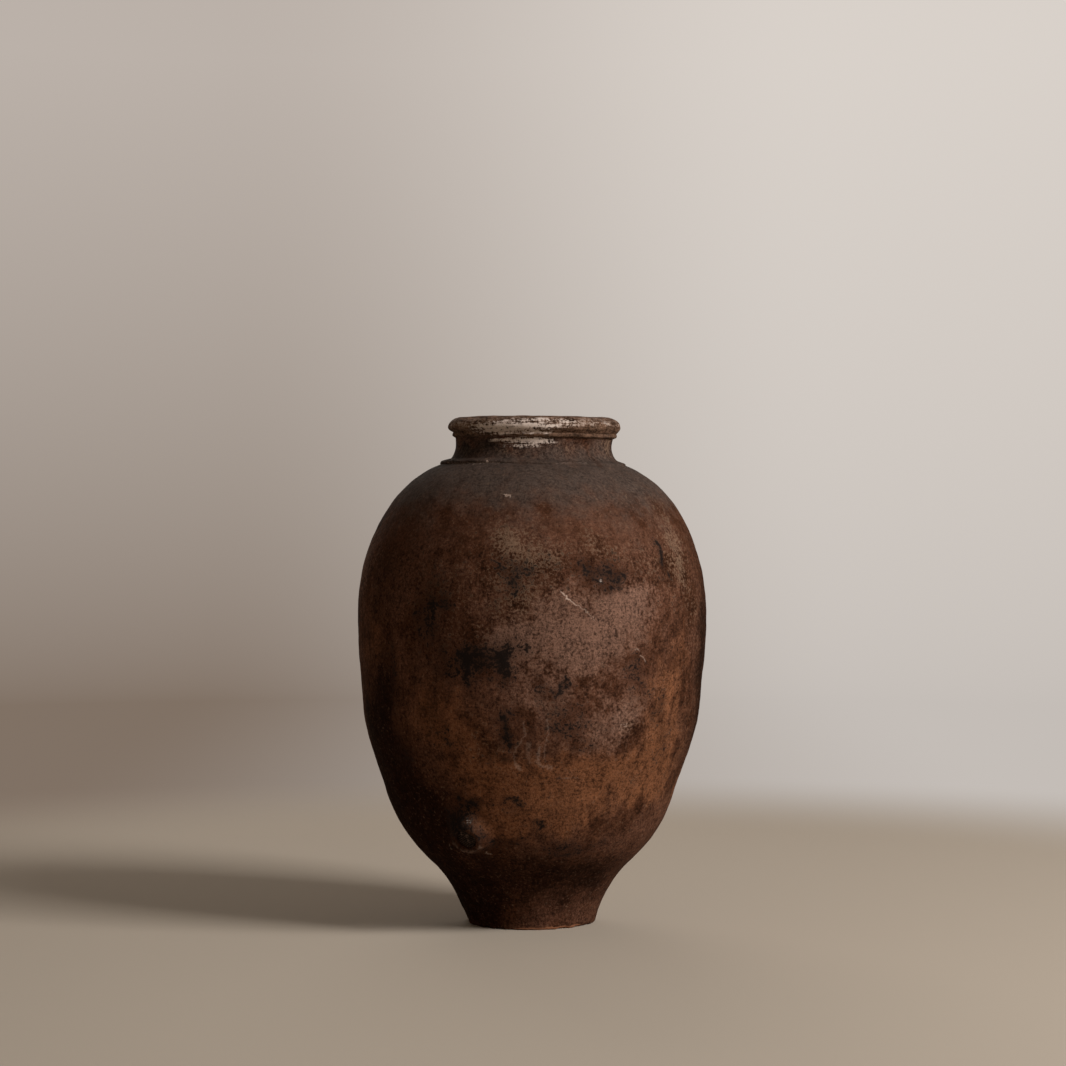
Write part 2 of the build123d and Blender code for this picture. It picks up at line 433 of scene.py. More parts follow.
@dataclass(frozen=True)
class Band:
    """A mark that goes all the way round, strongest at one height. Sizes are in millimetres."""

    mark: Mark
    height: float
    tall: float
    strength: float

    def weight(self, turn: Array, height: Array, radius: Array) -> Array:
        """Returns how strongly the band marks each point, whatever its turn."""
        return self.strength * np.exp(hump(height / MM, self.height, self.tall))


# What the front shows, as rows of turn, height, half width, half height and strength
FRONT_STAINS: dict[Mark, tuple[tuple[float, ...], ...]] = {
    Mark.SOOT_AND_SHADE: (
        (-4, 631, 44, 34, 0.62),
        (22, 630, 46, 24, 0.74),
        (30, 634, 26, 14, 0.36),
        (48, 654, 9, 32, 1.20),
        (50, 616, 8, 8, 0.80),
        (-33, 585, 34, 60, 0.36),
        (-36, 545, 26, 40, 0.34),
        (-60, 600, 16, 50, 0.25),
        (-16, 479, 56, 34, 0.88),
        (-30, 576, 16, 12, 0.50),
        (-22, 470, 24, 22, 0.35),
        (-8.5, 462, 8, 30, 0.62),
        (-22, 452, 7, 26, 0.50),
        (-6, 508, 60, 24, 0.28),
        (7, 446, 22, 11, 0.76),
        (3, 430, 16, 10, 0.45),
        (36, 466, 30, 34, 0.44),
        (40, 440, 14, 20, 0.28),
        (-6, 368, 20, 26, 1.05),
        (-10, 318, 20, 10, 0.60),
        (9, 366, 34, 22, 0.50),
        (12, 402, 46, 24, 0.30),
        (20, 370, 22, 16, 0.22),
        (18, 335, 18, 14, 0.40),
        (47, 398, 14, 24, 0.50),
        (52, 330, 16, 30, 0.40),
        (-24, 232, 30, 14, 0.75),
        (-33, 205, 20, 26, 0.60),
        (17, 150, 50, 15, 0.52),
        (30, 165, 30, 10, 0.38),
        (4, 196, 14, 10, 0.80),
        (-8, 178, 40, 7, 0.50),
        (-6, 245, 12, 14, 0.80),
        (-12, 232, 10, 8, 0.60),
        (-52, 470, 14, 60, 0.36),
        (-50, 330, 20, 60, 0.36),
        (-28, 345, 8, 40, 0.45),
        # Painted shade on the tap, over sooting round its hole: the next row widens the dark round the bung,
        # and the one after darkens the collar's lit right flank.
        (-27.5, 178, 25, 25, 0.90),
        (-19, 182, 10, 22, 0.50),
        (-23, 206, 16, 12, 0.40),
        (-22, 236, 12, 8, 0.60),
        (-31, 243, 10, 8, 0.60),
        (20, 815, 60, 14, 0.20),
    ),
    Mark.BUFF: (
        (-5, 690, 34, 26, 0.80),
        (2, 655, 40, 26, 0.50),
        (-4, 605, 66, 48, 0.62),
        (-32, 590, 44, 60, 0.40),
        (-14, 500, 60, 50, 0.34),
        (24, 672, 46, 22, 0.42),
        (58, 668, 30, 66, 0.72),
        (64, 560, 24, 70, 0.34),
        (-12, 330, 60, 40, 0.30),
        (-60, 882, 60, 11, 1.05),
        (-34, 882, 30, 9, 0.50),
        (32, 372, 20, 15, 0.50),
        (-20, 844, 40, 10, 0.50),
        (20, 850, 40, 12, 0.32),
        (64, 850, 24, 16, 0.85),
        (44, 640, 56, 50, 0.34),
    ),
    Mark.BLOOM: (
        (16, 520, 100, 80, 0.95),
        (-8, 530, 50, 40, 0.75),
        (-10, 498, 44, 30, 0.45),
        (0, 420, 60, 50, 0.50),
        (30, 570, 70, 55, 0.72),
        (30, 380, 56, 44, 0.75),
        (14, 330, 60, 30, 0.40),
        # The next row, on the top of the tap, is a pink patch that is partly the clay's own flush and partly
        # a painted highlight.
        (-23, 207, 16, 12, 0.60),
        (-20, 186, 10, 20, 0.25),
    ),
    Mark.WARM: (
        (-34, 400, 70, 66, 0.66),
        (-62, 500, 60, 70, 0.50),
        (52, 420, 60, 100, 0.66),
        (58, 540, 24, 70, 0.34),
        (20, 275, 150, 46, 0.90),
        (-14, 285, 70, 40, 0.70),
        (-22, 356, 50, 44, 0.45),
        (50, 290, 60, 60, 0.62),
        (8, 205, 100, 40, 0.62),
        (-14, 210, 60, 26, 0.50),
        (24, 500, 40, 40, 0.30),
    ),
    Mark.LIME_AND_HIGHLIGHT: (
        # A smear, a dot, and white specks on the top of the tap, which are partly crust and partly a painted
        # highlight
        (32, 370, 13, 11, 0.13),
        (28, 386, 12, 6, 0.07),
        (22.3, 618, 3.0, 2.4, 0.24),
        (-25, 206, 12, 8, 0.15),
        # On the lip and the top of the neck, thickest at the front
        (-14, 879.5, 46, 6.5, 1.25),
        (-24, 872, 34, 4, 0.75),
        (5, 882, 40, 2.6, 0.80),
        (4, 870.5, 18, 2, 0.75),
        (-2, 857.5, 44, 3.4, 1.00),
        (-22, 858, 24, 3, 0.50),
        (2, 851, 30, 4, 0.40),
        (-12, 847, 30, 3, 0.25),
        (-34, 880, 20, 6, 0.45),
        (-2, 892, 30, 3, 0.45),
        (22, 891, 12, 2, 0.55),
    ),
    Mark.DAMP_AND_SHADE: (
        # Umber patches. Those well to the left, from a turn of about -26 round, are painted shade on the side
        # turned away from the light, on the belly, neck and foot; the others darken the clay on the front, on
        # the right and at the lip.
        (-68, 300, 96, 150, 0.95),
        (-60, 640, 90, 90, 0.55),
        (-50, 200, 110, 80, 0.85),
        (-16, 120, 110, 46, 0.22),
        (30, 110, 90, 36, 0.38),
        (44, 885, 70, 12, 0.50),
        (-30, 505, 36, 50, 0.35),
        (-30, 385, 40, 60, 0.20),
        (-50, 40, 80, 60, 0.80),
        (-60, 848, 60, 11, 0.66),
        (-26, 846, 46, 11, 0.40),
        (4, 415, 50, 30, 0.30),
        (-34, 400, 44, 80, 0.28),
        (-56, 420, 40, 90, 0.45),
        (78, 470, 56, 190, 0.85),
    ),
    Mark.WEAR: (
        (25, 3, 34, 3.5, 1.0),
        (46, 3, 18, 3, 0.9),
        (-5, 2, 50, 2.2, 0.8),
    ),
}

BANDS: tuple[Band, ...] = (
    Band(Mark.DUST, 800, 75, 0.90),
    Band(Mark.DAMP_AND_SHADE, 70, 70, 0.38),
    # Painted shade: thin dark lines in the crease under the coil and in the groove between the bead and the
    # lip.
    Band(Mark.DAMP_AND_SHADE, 818, 2.5, 0.55),
    Band(Mark.DAMP_AND_SHADE, 866, 2.5, 0.35),
    Band(Mark.LIME_AND_HIGHLIGHT, 888, 9, 0.10),
    Band(Mark.WARM, 330, 120, 0.16),
)

SHELTERED = {Mark.DAMP_AND_SHADE: 0.75}  # what marks the inside, where weather doesn't reach
CRISP = {Mark.LIME_AND_HIGHLIGHT, Mark.WEAR}  # marks whose shapes don't wander


@dataclass(frozen=True)
class Trace:
    """A thin pale line on the front: points across and up, and half its width, in millimetres."""

    points: tuple[tuple[float, float], ...]
    reach: float
    strength: float


TRACES: tuple[Trace, ...] = (
    # The scratch, its fading tail, and a nick to the right of it
    Trace(((50, 601), (54, 595), (58, 592), (59, 588), (66, 586), (69, 582), (75, 577)), 2.0, 1.0),
    Trace(((75, 577), (82, 574), (88, 571), (98, 562), (106, 551)), 1.6, 0.42),
    Trace(((179, 500), (182, 498)), 3.4, 0.36),
    Trace(((185, 491), (191, 485), (197, 476)), 1.5, 0.40),
    # Two flecks near the neck, and under the tap a crescent that is a painted highlight along the lower lip
    # of the hole, with a fleck beside it
    Trace(((-78, 819), (-75, 819)), 2.2, 0.60),
    Trace(((-46, 763), (-41, 760), (-36, 761)), 1.9, 0.60),
    Trace(((-132, 161), (-126, 154), (-117, 150), (-105, 150), (-95, 153), (-86, 160)), 5.0, 0.13),
    Trace(((-77, 147), (-69, 143)), 2.8, 0.36),
    Trace(((-142, 158), (-140, 148)), 1.8, 0.16),
    # The coil's top edge in places: a painted highlight, where light catches it
    Trace(((-148, 818), (-98, 817), (-56, 818)), 1.4, 0.24),
    Trace(((38, 817), (96, 818)), 1.2, 0.14),
    # Runs of limy water that dried low on the belly
    Trace(((-12, 378), (-10, 362), (-13, 353), (-24, 337), (-30, 325), (-27, 310), (-22, 302)), 2.4, 0.13),
    Trace(((-26, 305), (-21, 299)), 6.5, 0.26),
    Trace(((-58, 330), (-31, 328)), 2.0, 0.09),
    Trace(((-4, 343), (-6, 328), (-2, 310)), 6.5, 0.12),
    Trace(((14, 337), (11, 314)), 3.4, 0.20),
    Trace(((26, 385), (29, 361), (23, 343), (23, 310)), 2.4, 0.14),
    Trace(((8, 311), (20, 303), (34, 301)), 5.0, 0.22),
    Trace(((51, 283), (80, 281)), 2.2, 0.12),
)


@dataclass(frozen=True)
class Weather:
    """All the marks: those that the front shows, and more of their kinds on the side that isn't seen.

    The ranges of the unseen stains are in degrees and millimetres, and as shares.
    """

    seed: int = 11
    wandering: tuple[Wave, ...] = (Wave(0.110, 6.0 * MM), Wave(0.040, 4.5 * MM), Wave(0.016, 2.2 * MM))
    ragged: Wave = Wave(0.024, 0.7 * MM)
    unseen_turns: tuple[float, float] = (80.0, 280.0)
    unseen_heights: tuple[float, float] = (130.0, 720.0)
    broad_widths: tuple[float, float] = (45.0, 110.0)
    narrow_widths: tuple[float, float] = (8.0, 42.0)
    flatness: tuple[float, float] = (0.5, 1.1)
    fading: tuple[float, float] = (0.7, 1.0)
    counts: tuple[tuple[Mark, int, float], ...] = (
        (Mark.SOOT_AND_SHADE, 26, 0.75),
        (Mark.WARM, 9, 0.9),
        (Mark.BLOOM, 8, 0.8),
        (Mark.BUFF, 8, 0.7),
        (Mark.LIME_AND_HIGHLIGHT, 5, 0.17),
        (Mark.DAMP_AND_SHADE, 6, 0.6),
    )

    def unseen(self) -> list[Stain]:
        """Scatters stains over the side that isn't seen, in the sizes that the front has.

        Returns:
            The stains, which are the same on each run.
        """
        pick = random.Random(self.seed)
        stains = []
        for mark, count, strength in self.counts:
            broad = mark in (Mark.WARM, Mark.BLOOM, Mark.DAMP_AND_SHADE)
            for _ in range(count):
                wide = pick.uniform(*(self.broad_widths if broad else self.narrow_widths))
                turn = pick.uniform(*self.unseen_turns)
                height = pick.uniform(*self.unseen_heights)
                tall = wide * pick.uniform(*self.flatness)
                stains.append(Stain(mark, turn, height, wide, tall, strength * pick.uniform(*self.fading)))
        return stains

    def lay_on(self, mesh: Mesh, outside: Array) -> None:
        """Writes each mark's strength as an attribute of a mesh.

        Args:
            mesh: The finished mesh, in the jar's frame.
            outside: For each vertex, 1 where weather reaches and 0 inside the jar.
        """
        points = coordinates(mesh)
        crisp = points + self.ragged.strays(points)
        blotted = points + sum(wave.strays(points) for wave in self.wandering)
        seen = [Stain(mark, *sizes) for mark, rows in FRONT_STAINS.items() for sizes in rows]
        marks = [*seen, *BANDS, *self.unseen()]
        for mark in Mark:
            where = crisp if mark in CRISP else blotted
            turn = np.degrees(np.arctan2(where[:, 0], -where[:, 1]))
            radius = np.hypot(where[:, 0], where[:, 1])
            total = np.zeros(len(points))
            for stain in marks:
                if stain.mark is mark:
                    total += stain.weight(turn, where[:, 2], radius)
            total = total * outside + SHELTERED.get(mark, 0.0) * (1.0 - outside)
            layer = mesh.attributes.new(mark.value, "FLOAT", "POINT")
            layer.data.foreach_set("value", total.astype(np.float32))


WEATHER = Weather()


# ---------------------------------------------------------------- meshes


def coordinates(mesh: Mesh) -> Array:
    """Reads a mesh's vertices.

    Args:
        mesh: The mesh.

    Returns:
        Their places, one a row.
    """
    flat = np.empty(len(mesh.vertices) * 3, np.float32)
    mesh.vertices.foreach_get("co", flat)
    return flat.reshape(-1, 3).astype(float)


def attribute(mesh: Mesh, name: str, part: str, width: int) -> Array:
    """Reads a mesh's attribute.

    Args:
        mesh: The mesh.
        name: The attribute's name.
        part: What its elements hold: "value" or "vector".
        width: Numbers in an element.

    Returns:
        The elements, one a row.
    """
    data = mesh.attributes[name].data
    flat = np.empty(len(data) * width, np.float32)
    data.foreach_get(part, flat)
    return flat.reshape(-1, width).astype(float)


def place(mesh: Mesh, points: Array) -> None:
    """Sets a mesh's vertices."""
    mesh.vertices.foreach_set("co", points.astype(np.float32).ravel())
    mesh.update()


def spun(
    points: Sequence[Vector], closed: bool, centre: Vector, axis: Vector, sectors: int, steps: int
) -> bmesh.types.BMesh:
    """Spins a half section into a shell, a sector first and then copies of it.

    Args:
        points: The section. An open one starts and ends on the axis, or at a free edge.
        closed: Whether its last point joins its first.
        centre: A point on the axis.
        axis: The axis's direction.
        sectors: Sectors round the shell.
        steps: Faces round each sector.

    Returns:
        The shell. Each vertex's "row" layer holds its place in the section.
    """
    shell = bmesh.new()
    row = shell.verts.layers.int.new("row")
    corners = [shell.verts.new(point) for point in points]
    for number, corner in enumerate(corners):
        corner[row] = number
    ends = corners[1:] + corners[:1] if closed else corners[1:]
    edges = [shell.edges.new(pair) for pair in zip(corners, ends)]
    share = math.tau / sectors
    bmesh.ops.spin(shell, geom=corners + edges, cent=centre, axis=axis, angle=share, steps=steps)
    bmesh.ops.spin(
        shell,
        geom=shell.verts[:] + shell.edges[:] + shell.faces[:],
        cent=centre,
        axis=axis,
        angle=math.tau - share,
        steps=sectors - 1,
        use_duplicate=True,
    )
    bmesh.ops.remove_doubles(shell, verts=shell.verts, dist=MERGE_WITHIN)
    bmesh.ops.recalc_face_normals(shell, faces=shell.faces)
    for face in shell.faces:
        face.smooth = True
    return shell


def finished(name: str, shell: bmesh.types.BMesh) -> Object:
    """Turns a bmesh into an object of the scene, at the origin.

    Args:
        name: The piece's name.
        shell: Its mesh, which is freed.

    Returns:
        The object.
    """
    mesh = bpy.data.meshes.new(name)
    shell.to_mesh(mesh)
    shell.free()
    piece = bpy.data.objects.new(name, mesh)
    bpy.context.scene.collection.objects.link(piece)
    return piece


def dress(piece: Object, material: Material, body: str, node: str) -> None:
    """Gives a piece its finish and its place in the model.

    Args:
        piece: The finished object.
        material: Its material.
        body: The body that it rides on.
        node: The CAD node that it stands for.
    """
    piece.data.materials.append(material)
    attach(piece, body)
    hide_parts(node)
    log.info("%s: %d vertices, rides on %s", piece.name, len(piece.data.vertices), body)


@dataclass
class ClayRing:
    """One stage of the jar, spun from its outside and inside curves and then worked by hand.

    The seams show nowhere on the real jar, so the normals along them are worked out from the
    surface itself, the same on both sides of a seam.
    """

    node: str
    outside: list[Vector]
    inside: list[Vector]
    outside_directions: tuple[Vector, ...] = ()
    slot: str = "fired_clay"
    open_section: bool = False
    adjust: Callable[[bmesh.types.BMesh], None] | None = None

    @property
    def seam_rows(self) -> dict[int, Vector]:
        """Finds the rows that lie on an outside seam.

        Returns:
            The wall's direction up at each such row.
        """
        rows: dict[int, Vector] = {}
        if not self.open_section:
            rows[0] = self.outside_directions[0]
        if len(self.outside_directions) > 1:
            rows[len(self.outside) - 1] = self.outside_directions[1]
        return rows

    def shell(self) -> bmesh.types.BMesh:
        """Spins the drawn form, with the faces inside the clay marked flat.

        Returns:
            The shell.
        """
        section = self.outside + list(reversed(self.inside))
        closed = not self.open_section
        shell = spun(section, closed, Vector(), Vector((0, 0, 1)), SECTORS, SECTOR_FACES)
        row = shell.verts.layers.int["row"]
        last = len(self.outside) - 1
        joints = [{last, last + 1}] + ([] if self.open_section else [{len(section) - 1, 0}])
        for face in shell.faces:
            if self.outside_directions and {vertex[row] for vertex in face.verts} in joints:
                face.smooth = False
                for edge in face.edges:
                    edge.smooth = False
        return shell

    def seam_normals(self, drawn: Array, up: Vector) -> Array:
        """Works out the worked surface's normals along a seam.

        Args:
            drawn: The seam's points on the drawn form.
            up: The wall's direction there, in the half section.

        Returns:
            A unit normal for each point, pointing out of the clay.
        """
        reach = OUTSIDE_STEP
        radial = drawn * [1, 1, 0] / np.hypot(drawn[:, 0], drawn[:, 1])[:, None]
        sideways = np.stack([-radial[:, 1], radial[:, 0], np.zeros(len(drawn))], 1)
        upwards = radial * up.x + np.array([0, 0, up.z])
        climb = HAND.shaped(drawn + upwards * reach) - HAND.shaped(drawn - upwards * reach)
        turn = HAND.shaped(drawn + sideways * reach) - HAND.shaped(drawn - sideways * reach)
        normals = np.cross(turn, climb)
        return normals / np.linalg.norm(normals, axis=1)[:, None]

    def blend_seams(self, mesh: Mesh, drawn: Array, rows: Array) -> None:
        """Shares the normals along the outside seams with the next stage.

        Args:
            mesh: The worked mesh.
            drawn: Its vertices before they were worked.
            rows: Each vertex's place in the section.
        """
        corner_vertex = np.empty(len(mesh.loops), np.int32)
        mesh.loops.foreach_get("vertex_index", corner_vertex)
        smooth = np.empty(len(mesh.polygons), bool)
        mesh.polygons.foreach_get("use_smooth", smooth)
        sizes = np.empty(len(mesh.polygons), np.int32)
        mesh.polygons.foreach_get("loop_total", sizes)
        corner_smooth = np.repeat(smooth, sizes)
        normals = np.zeros((len(mesh.loops), 3))
        for row, up in self.seam_rows.items():
            on_seam = np.flatnonzero(rows == row)
            by_vertex = np.zeros((len(drawn), 3))
            by_vertex[on_seam] = self.seam_normals(drawn[on_seam], up)
            corners = (rows[corner_vertex] == row) & corner_smooth
            normals[corners] = by_vertex[corner_vertex[corners]]
        mesh.normals_split_custom_set(normals.tolist())

    def build(self, material: Material) -> Object:
        """Builds the piece.

        Args:
            material: Its clay.

        Returns:
            The finished object.
        """
        piece = finished(self.node + "_clay", self.shell())
        mesh = piece.data
        drawn = coordinates(mesh)
        mesh.attributes.new("drawn", "FLOAT_VECTOR", "POINT")
        mesh.attributes["drawn"].data.foreach_set("vector", drawn.astype(np.float32).ravel())
        place(mesh, HAND.shaped(drawn))
        if self.adjust:
            shell = bmesh.new()
            shell.from_mesh(mesh)
            self.adjust(shell)
            shell.to_mesh(mesh)
            shell.free()
        drawn = attribute(mesh, "drawn", "vector", 3)
        rows = attribute(mesh, "row", "value", 1)[:, 0]
        mesh.attributes.remove(mesh.attributes["drawn"])
        mesh.attributes.remove(mesh.attributes["row"])
        if self.outside_directions:
            self.blend_seams(mesh, drawn, rows)
        WEATHER.lay_on(mesh, (rows < len(self.outside)).astype(float))
        dress(piece, material, "jar", self.node)
        return piece


# ---------------------------------------------------------------- the wall


@dataclass
class Wall:
    """The body of the jar, from the slab it stands on to its shoulder."""

    foot_angle: float = 13.0
    foot_inset: float = 8.5 * MM
    foot_edge: float = 3.0 * MM
    foot_edge_step: float = 1.2 * MM
    slab_angle: float = 21.0
    slab_wall: float = 27.0 * MM
    floor_radius: float = 58.0 * MM
    floor_thickness: float = 26.0 * MM
    foot_top_angle: float = 48.5
    foot_top_wall: float = 26.0 * MM
    bowl_angle: float = 16.0
    bowl_wall: float = 24.0 * MM
    lower_wall_angle: float = 3.5
    lower_wall_thickness: float = 23.0 * MM
    belly_wall: float = 22.0 * MM
    shoulder_angle: float = -33.0
    shoulder_wall: float = 22.0 * MM
    shoulder_top_angle: float = -76.5
    shoulder_edge: float = 22.0 * MM
    throat_radius: float = 115.0 * MM
    throat_round: float = 10.0 * MM
    throat_round_step: float = 2.5 * MM

    def __post_init__(self) -> None:
        """Takes the seams' radii and heights from the CAD nodes."""

        def seam(below: str, above: str, angle: float, wall: float) -> Seam:
            """Returns the seam on top of one node and under the next."""
            return Seam(half_width(below), underside(above), angle, wall)

        self.slab_top = seam("base_slab", "foot", self.slab_angle, self.slab_wall)
        self.foot_top = seam("foot", "lower_bowl", self.foot_top_angle, self.foot_top_wall)
        self.bowl_top = seam("lower_bowl", "lower_wall", self.bowl_angle, self.bowl_wall)
        self.wall_top = seam("lower_wall", "lower_belly", self.lower_wall_angle, self.lower_wall_thickness)
        self.belly_line = seam("lower_belly", "upper_belly", 0.0, self.belly_wall)
        shoulder_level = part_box("upper_belly")[1].z
        self.shoulder_line = Seam(
            half_width("shoulder"), shoulder_level, self.shoulder_angle, self.shoulder_wall
        )
        self.neck_foot = Vector((half_width("neck"), 0.0, underside("neck")))

    def stage(self, node: str, lower: Seam, upper: Seam) -> ClayRing:
        """Draws a stage between two seams.

        Args:
            node: The CAD node that it stands for.
            lower: The seam below it.
            upper: The seam above it.

        Returns:
            The stage.
        """
        return ClayRing(
            node,
            curve(lower.outer, lower.up, upper.outer, upper.up, OUTSIDE_STEP),
            curve(lower.inner, lower.up, upper.inner, upper.up, INSIDE_STEP),
            (lower.up, upper.up),
        )

    def slab(self) -> ClayRing:
        """Draws the slab: its underside, worn edge and outside, and the dished floor inside.

        Returns:
            The slab.
        """
        radius = self.slab_top.radius - self.foot_inset
        lean = up_wall(self.foot_angle)
        underside_end = Vector((radius - self.foot_edge, 0, 0))
        side_start = Vector((radius, 0, 0)) + lean * self.foot_edge
        floor_edge = Vector((self.floor_radius, 0, self.floor_thickness))
        outside = chain(
            straight(Vector(), underside_end, INSIDE_STEP),
            curve(underside_end, Vector((1, 0, 0)), side_start, lean, self.foot_edge_step),
            curve(side_start, lean, self.slab_top.outer, self.slab_top.up, OUTSIDE_STEP),
        )
        inside = chain(
            straight(Vector((0, 0, self.floor_thickness)), floor_edge, INSIDE_STEP),
            curve(floor_edge, Vector((1, 0, 0)), self.slab_top.inner, self.slab_top.up, INSIDE_STEP),
        )
        return ClayRing(
            "base_slab", outside, inside, (self.slab_top.up, self.slab_top.up), open_section=True
        )

    def shoulder(self) -> ClayRing:
        """Draws the shoulder, which closes in to the throat under the neck.

        Returns:
            The shoulder.
        """
        seam, top_up = self.shoulder_line, up_wall(self.shoulder_top_angle)
        level = self.neck_foot.z - self.shoulder_edge
        round_end = Vector((self.throat_radius + self.throat_round, 0, level))
        throat_start = Vector((self.throat_radius, 0, level + self.throat_round))
        inwards, up = Vector((-1, 0, 0)), Vector((0, 0, 1))
        inside = chain(
            curve(seam.inner, seam.up, round_end, inwards, INSIDE_STEP),
            curve(round_end, inwards, throat_start, up, self.throat_round_step),
            straight(throat_start, Vector((self.throat_radius, 0, self.neck_foot.z)), INSIDE_STEP),
        )
        outside = curve(seam.outer, seam.up, self.neck_foot, top_up, OUTSIDE_STEP)
        return ClayRing("shoulder", outside, inside, (seam.up, top_up))

    def build(self, clay: Material, tap: "Tap") -> None:
        """Builds the slab and the stages, with the tap's hole through the lower bowl.

        Args:
            clay: The material of all of them.
            tap: The tap, which is told the bowl's worked shape.
        """
        self.slab().build(clay)
        self.stage("foot", self.slab_top, self.foot_top).build(clay)
        bowl = self.stage("lower_bowl", self.foot_top, self.bowl_top)
        bowl.adjust = tap.pierce
        tap.wall_shape = BVHTree.FromObject(bowl.build(clay), bpy.context.evaluated_depsgraph_get())
        self.stage("lower_wall", self.bowl_top, self.wall_top).build(clay)
        self.stage("lower_belly", self.wall_top, self.belly_line).build(clay)
        self.stage("upper_belly", self.belly_line, self.shoulder_line).build(clay)
        self.shoulder().build(clay)


# ---------------------------------------------------------------- the mouth


@dataclass
class Mouth:
    """The neck, the flat coil round its foot, and the rolled rim.

    The coil's run gives radii, and rises from the foot of the neck, in millimetres. Its lumps and
    dents are a size in metres and an amount in millimetres, as are the other amounts of its edge.
    """

    throat_radius: float = 115.0 * MM
    waist_radius: float = 139.6 * MM
    waist_rise: float = 26.0 * MM
    flare_radius: float = 154.0 * MM
    flare_rise: float = 0.7 * MM
    flare_angle: float = -73.7
    neck_top_angle: float = 16.0
    neck_top_radius: float = 141.2 * MM
    neck_step: float = 1.5 * MM
    coil_run: tuple[tuple[float, float], ...] = (
        (165.4, -8.0),
        (166.4, -4.9),
        (165.8, -2.9),
        (163.8, -1.4),
        (160.0, -0.2),
        (151.0, 2.0),
        (148.0, 0.0),
    )
    coil_step: float = 1.0 * MM
    coil_width: float = 8.0 * MM
    coil_depth: float = 5.0 * MM
    coil_lumps: tuple[float, float] = (0.030, 1.5)
    coil_dents: tuple[float, float] = (0.011, 0.7)
    coil_pressed: float = 0.4
    coil_height_share: float = 0.7
    coil_thicker_left: float = 1.5
    coil_thinner_right: float = 0.6
    bead_angle: float = 75.0
    bead_radius: float = 147.6 * MM
    bead_height: float = 8.0 * MM
    bead_step: float = 0.9 * MM
    groove_radius: float = 146.2 * MM
    groove_angle: float = -55.0
    lip_angle: float = 38.0
    lip_spread: float = 2.2 * MM
    lip_rise: float = 15.0 * MM
    lip_round: float = 8.0 * MM
    lip_step: float = 1.2 * MM
    land_width: float = 11.0 * MM
    land_step: float = 1.6 * MM
    land_edge_step: float = 1.4 * MM

    def throat(self, bottom: float, top: float) -> list[Vector]:
        """Returns a straight run up the throat, between two heights."""
        radius = self.throat_radius
        return straight(Vector((radius, 0, bottom)), Vector((radius, 0, top)), THROAT_STEP)

    def neck(self) -> ClayRing:
        """Draws the waisted neck, whose foot spreads out onto the coil.

        Returns:
            The neck.
        """
        bottom = underside("neck")
        foot = Vector((self.flare_radius, 0, bottom + self.flare_rise))
        waist = Vector((self.waist_radius, 0, bottom + self.waist_rise))
        top = Vector((self.neck_top_radius, 0, underside("rim")))
        foot_up, top_up, up = up_wall(self.flare_angle), up_wall(self.neck_top_angle), up_wall(0)
        outside = chain(
            curve(foot, foot_up, waist, up, self.neck_step),
            curve(waist, up, top, top_up, self.neck_step),
        )
        return ClayRing("neck", outside, self.throat(bottom, top.z), (foot_up, top_up))

    def coil(self) -> ClayRing:
        """Draws the thin coil pressed into the corner between the neck and the shoulder.

        Returns:
            The coil.
        """
        top = underside("neck")
        corners = [Vector((radius * MM, 0, top + rise * MM)) for radius, rise in self.coil_run]
        under = corners[0] - Vector((self.coil_width, 0, 0))
        behind = corners[-1] - Vector((0, 0, self.coil_depth))
        coil = ClayRing("neck_ring", folded(corners, self.coil_step), [under, behind])
        coil.adjust = self.press_coil
        return coil

    def press_coil(self, shell: bmesh.types.BMesh) -> None:
        """Makes the coil's edge ragged, as fingers left it: thicker on the left, thinner on the right.

        Args:
            shell: The worked coil.
        """
        for vertex in shell.verts:
            spread = Vector()
            for size, amount in (self.coil_lumps, self.coil_dents):
                spread += noise.noise_vector(vertex.co / size) * amount
            away = Vector((vertex.co.x, vertex.co.y, 0)).normalized()
            left, right = max(0.0, -away.x), max(0.0, away.x)
            rise = spread.z * self.coil_height_share
            rise += self.coil_thicker_left * left - self.coil_thinner_right * right
            vertex.co += (away * (spread.x - self.coil_pressed) + Vector((0, 0, rise))) * MM

    def rim(self) -> ClayRing:
        """Draws the rim: bead, groove, rolled lip, flat land and throat.

        Returns:
            The rim.
        """
        bottom = underside("rim")
        start = Vector((self.neck_top_radius, 0, bottom))
        bead = Vector((self.bead_radius, 0, bottom + self.bead_height / 2))
        groove = Vector((self.groove_radius, 0, bottom + self.bead_height))
        lip = Vector((half_width("rim") + self.lip_spread, 0, groove.z + self.lip_rise))
        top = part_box("rim")[1].z
        land_inner = Vector((self.throat_radius + self.lip_round, 0, top))
        land_outer = land_inner + Vector((self.land_width, 0, 0))
        throat_top = Vector((self.throat_radius, 0, top - self.lip_round))
        up, inwards = up_wall(0), Vector((-1, 0, 0))
        outside = chain(
            curve(start, up_wall(self.bead_angle), bead, up, self.bead_step),
            curve(bead, up, groove, up_wall(self.groove_angle), self.bead_step),
            curve(groove, up_wall(self.lip_angle), lip, up, self.lip_step),
            curve(lip, up, land_outer, inwards, self.lip_step),
            straight(land_outer, land_inner, self.land_step),
            curve(land_inner, inwards, throat_top, -up, self.land_edge_step),
        )
        inside = self.throat(bottom, throat_top.z)[:-1]
        return ClayRing("rim", outside, inside, (up_wall(self.neck_top_angle),), slot="limed_clay")

    def build(self, clay: Material, limed: Material) -> None:
        """Builds the neck, the coil and the rim.

        Args:
            clay: The material of the neck and the coil.
            limed: The rim's material.
        """
        self.neck().build(clay)
        self.coil().build(clay)
        self.rim().build(limed)


# ---------------------------------------------------------------- the tap


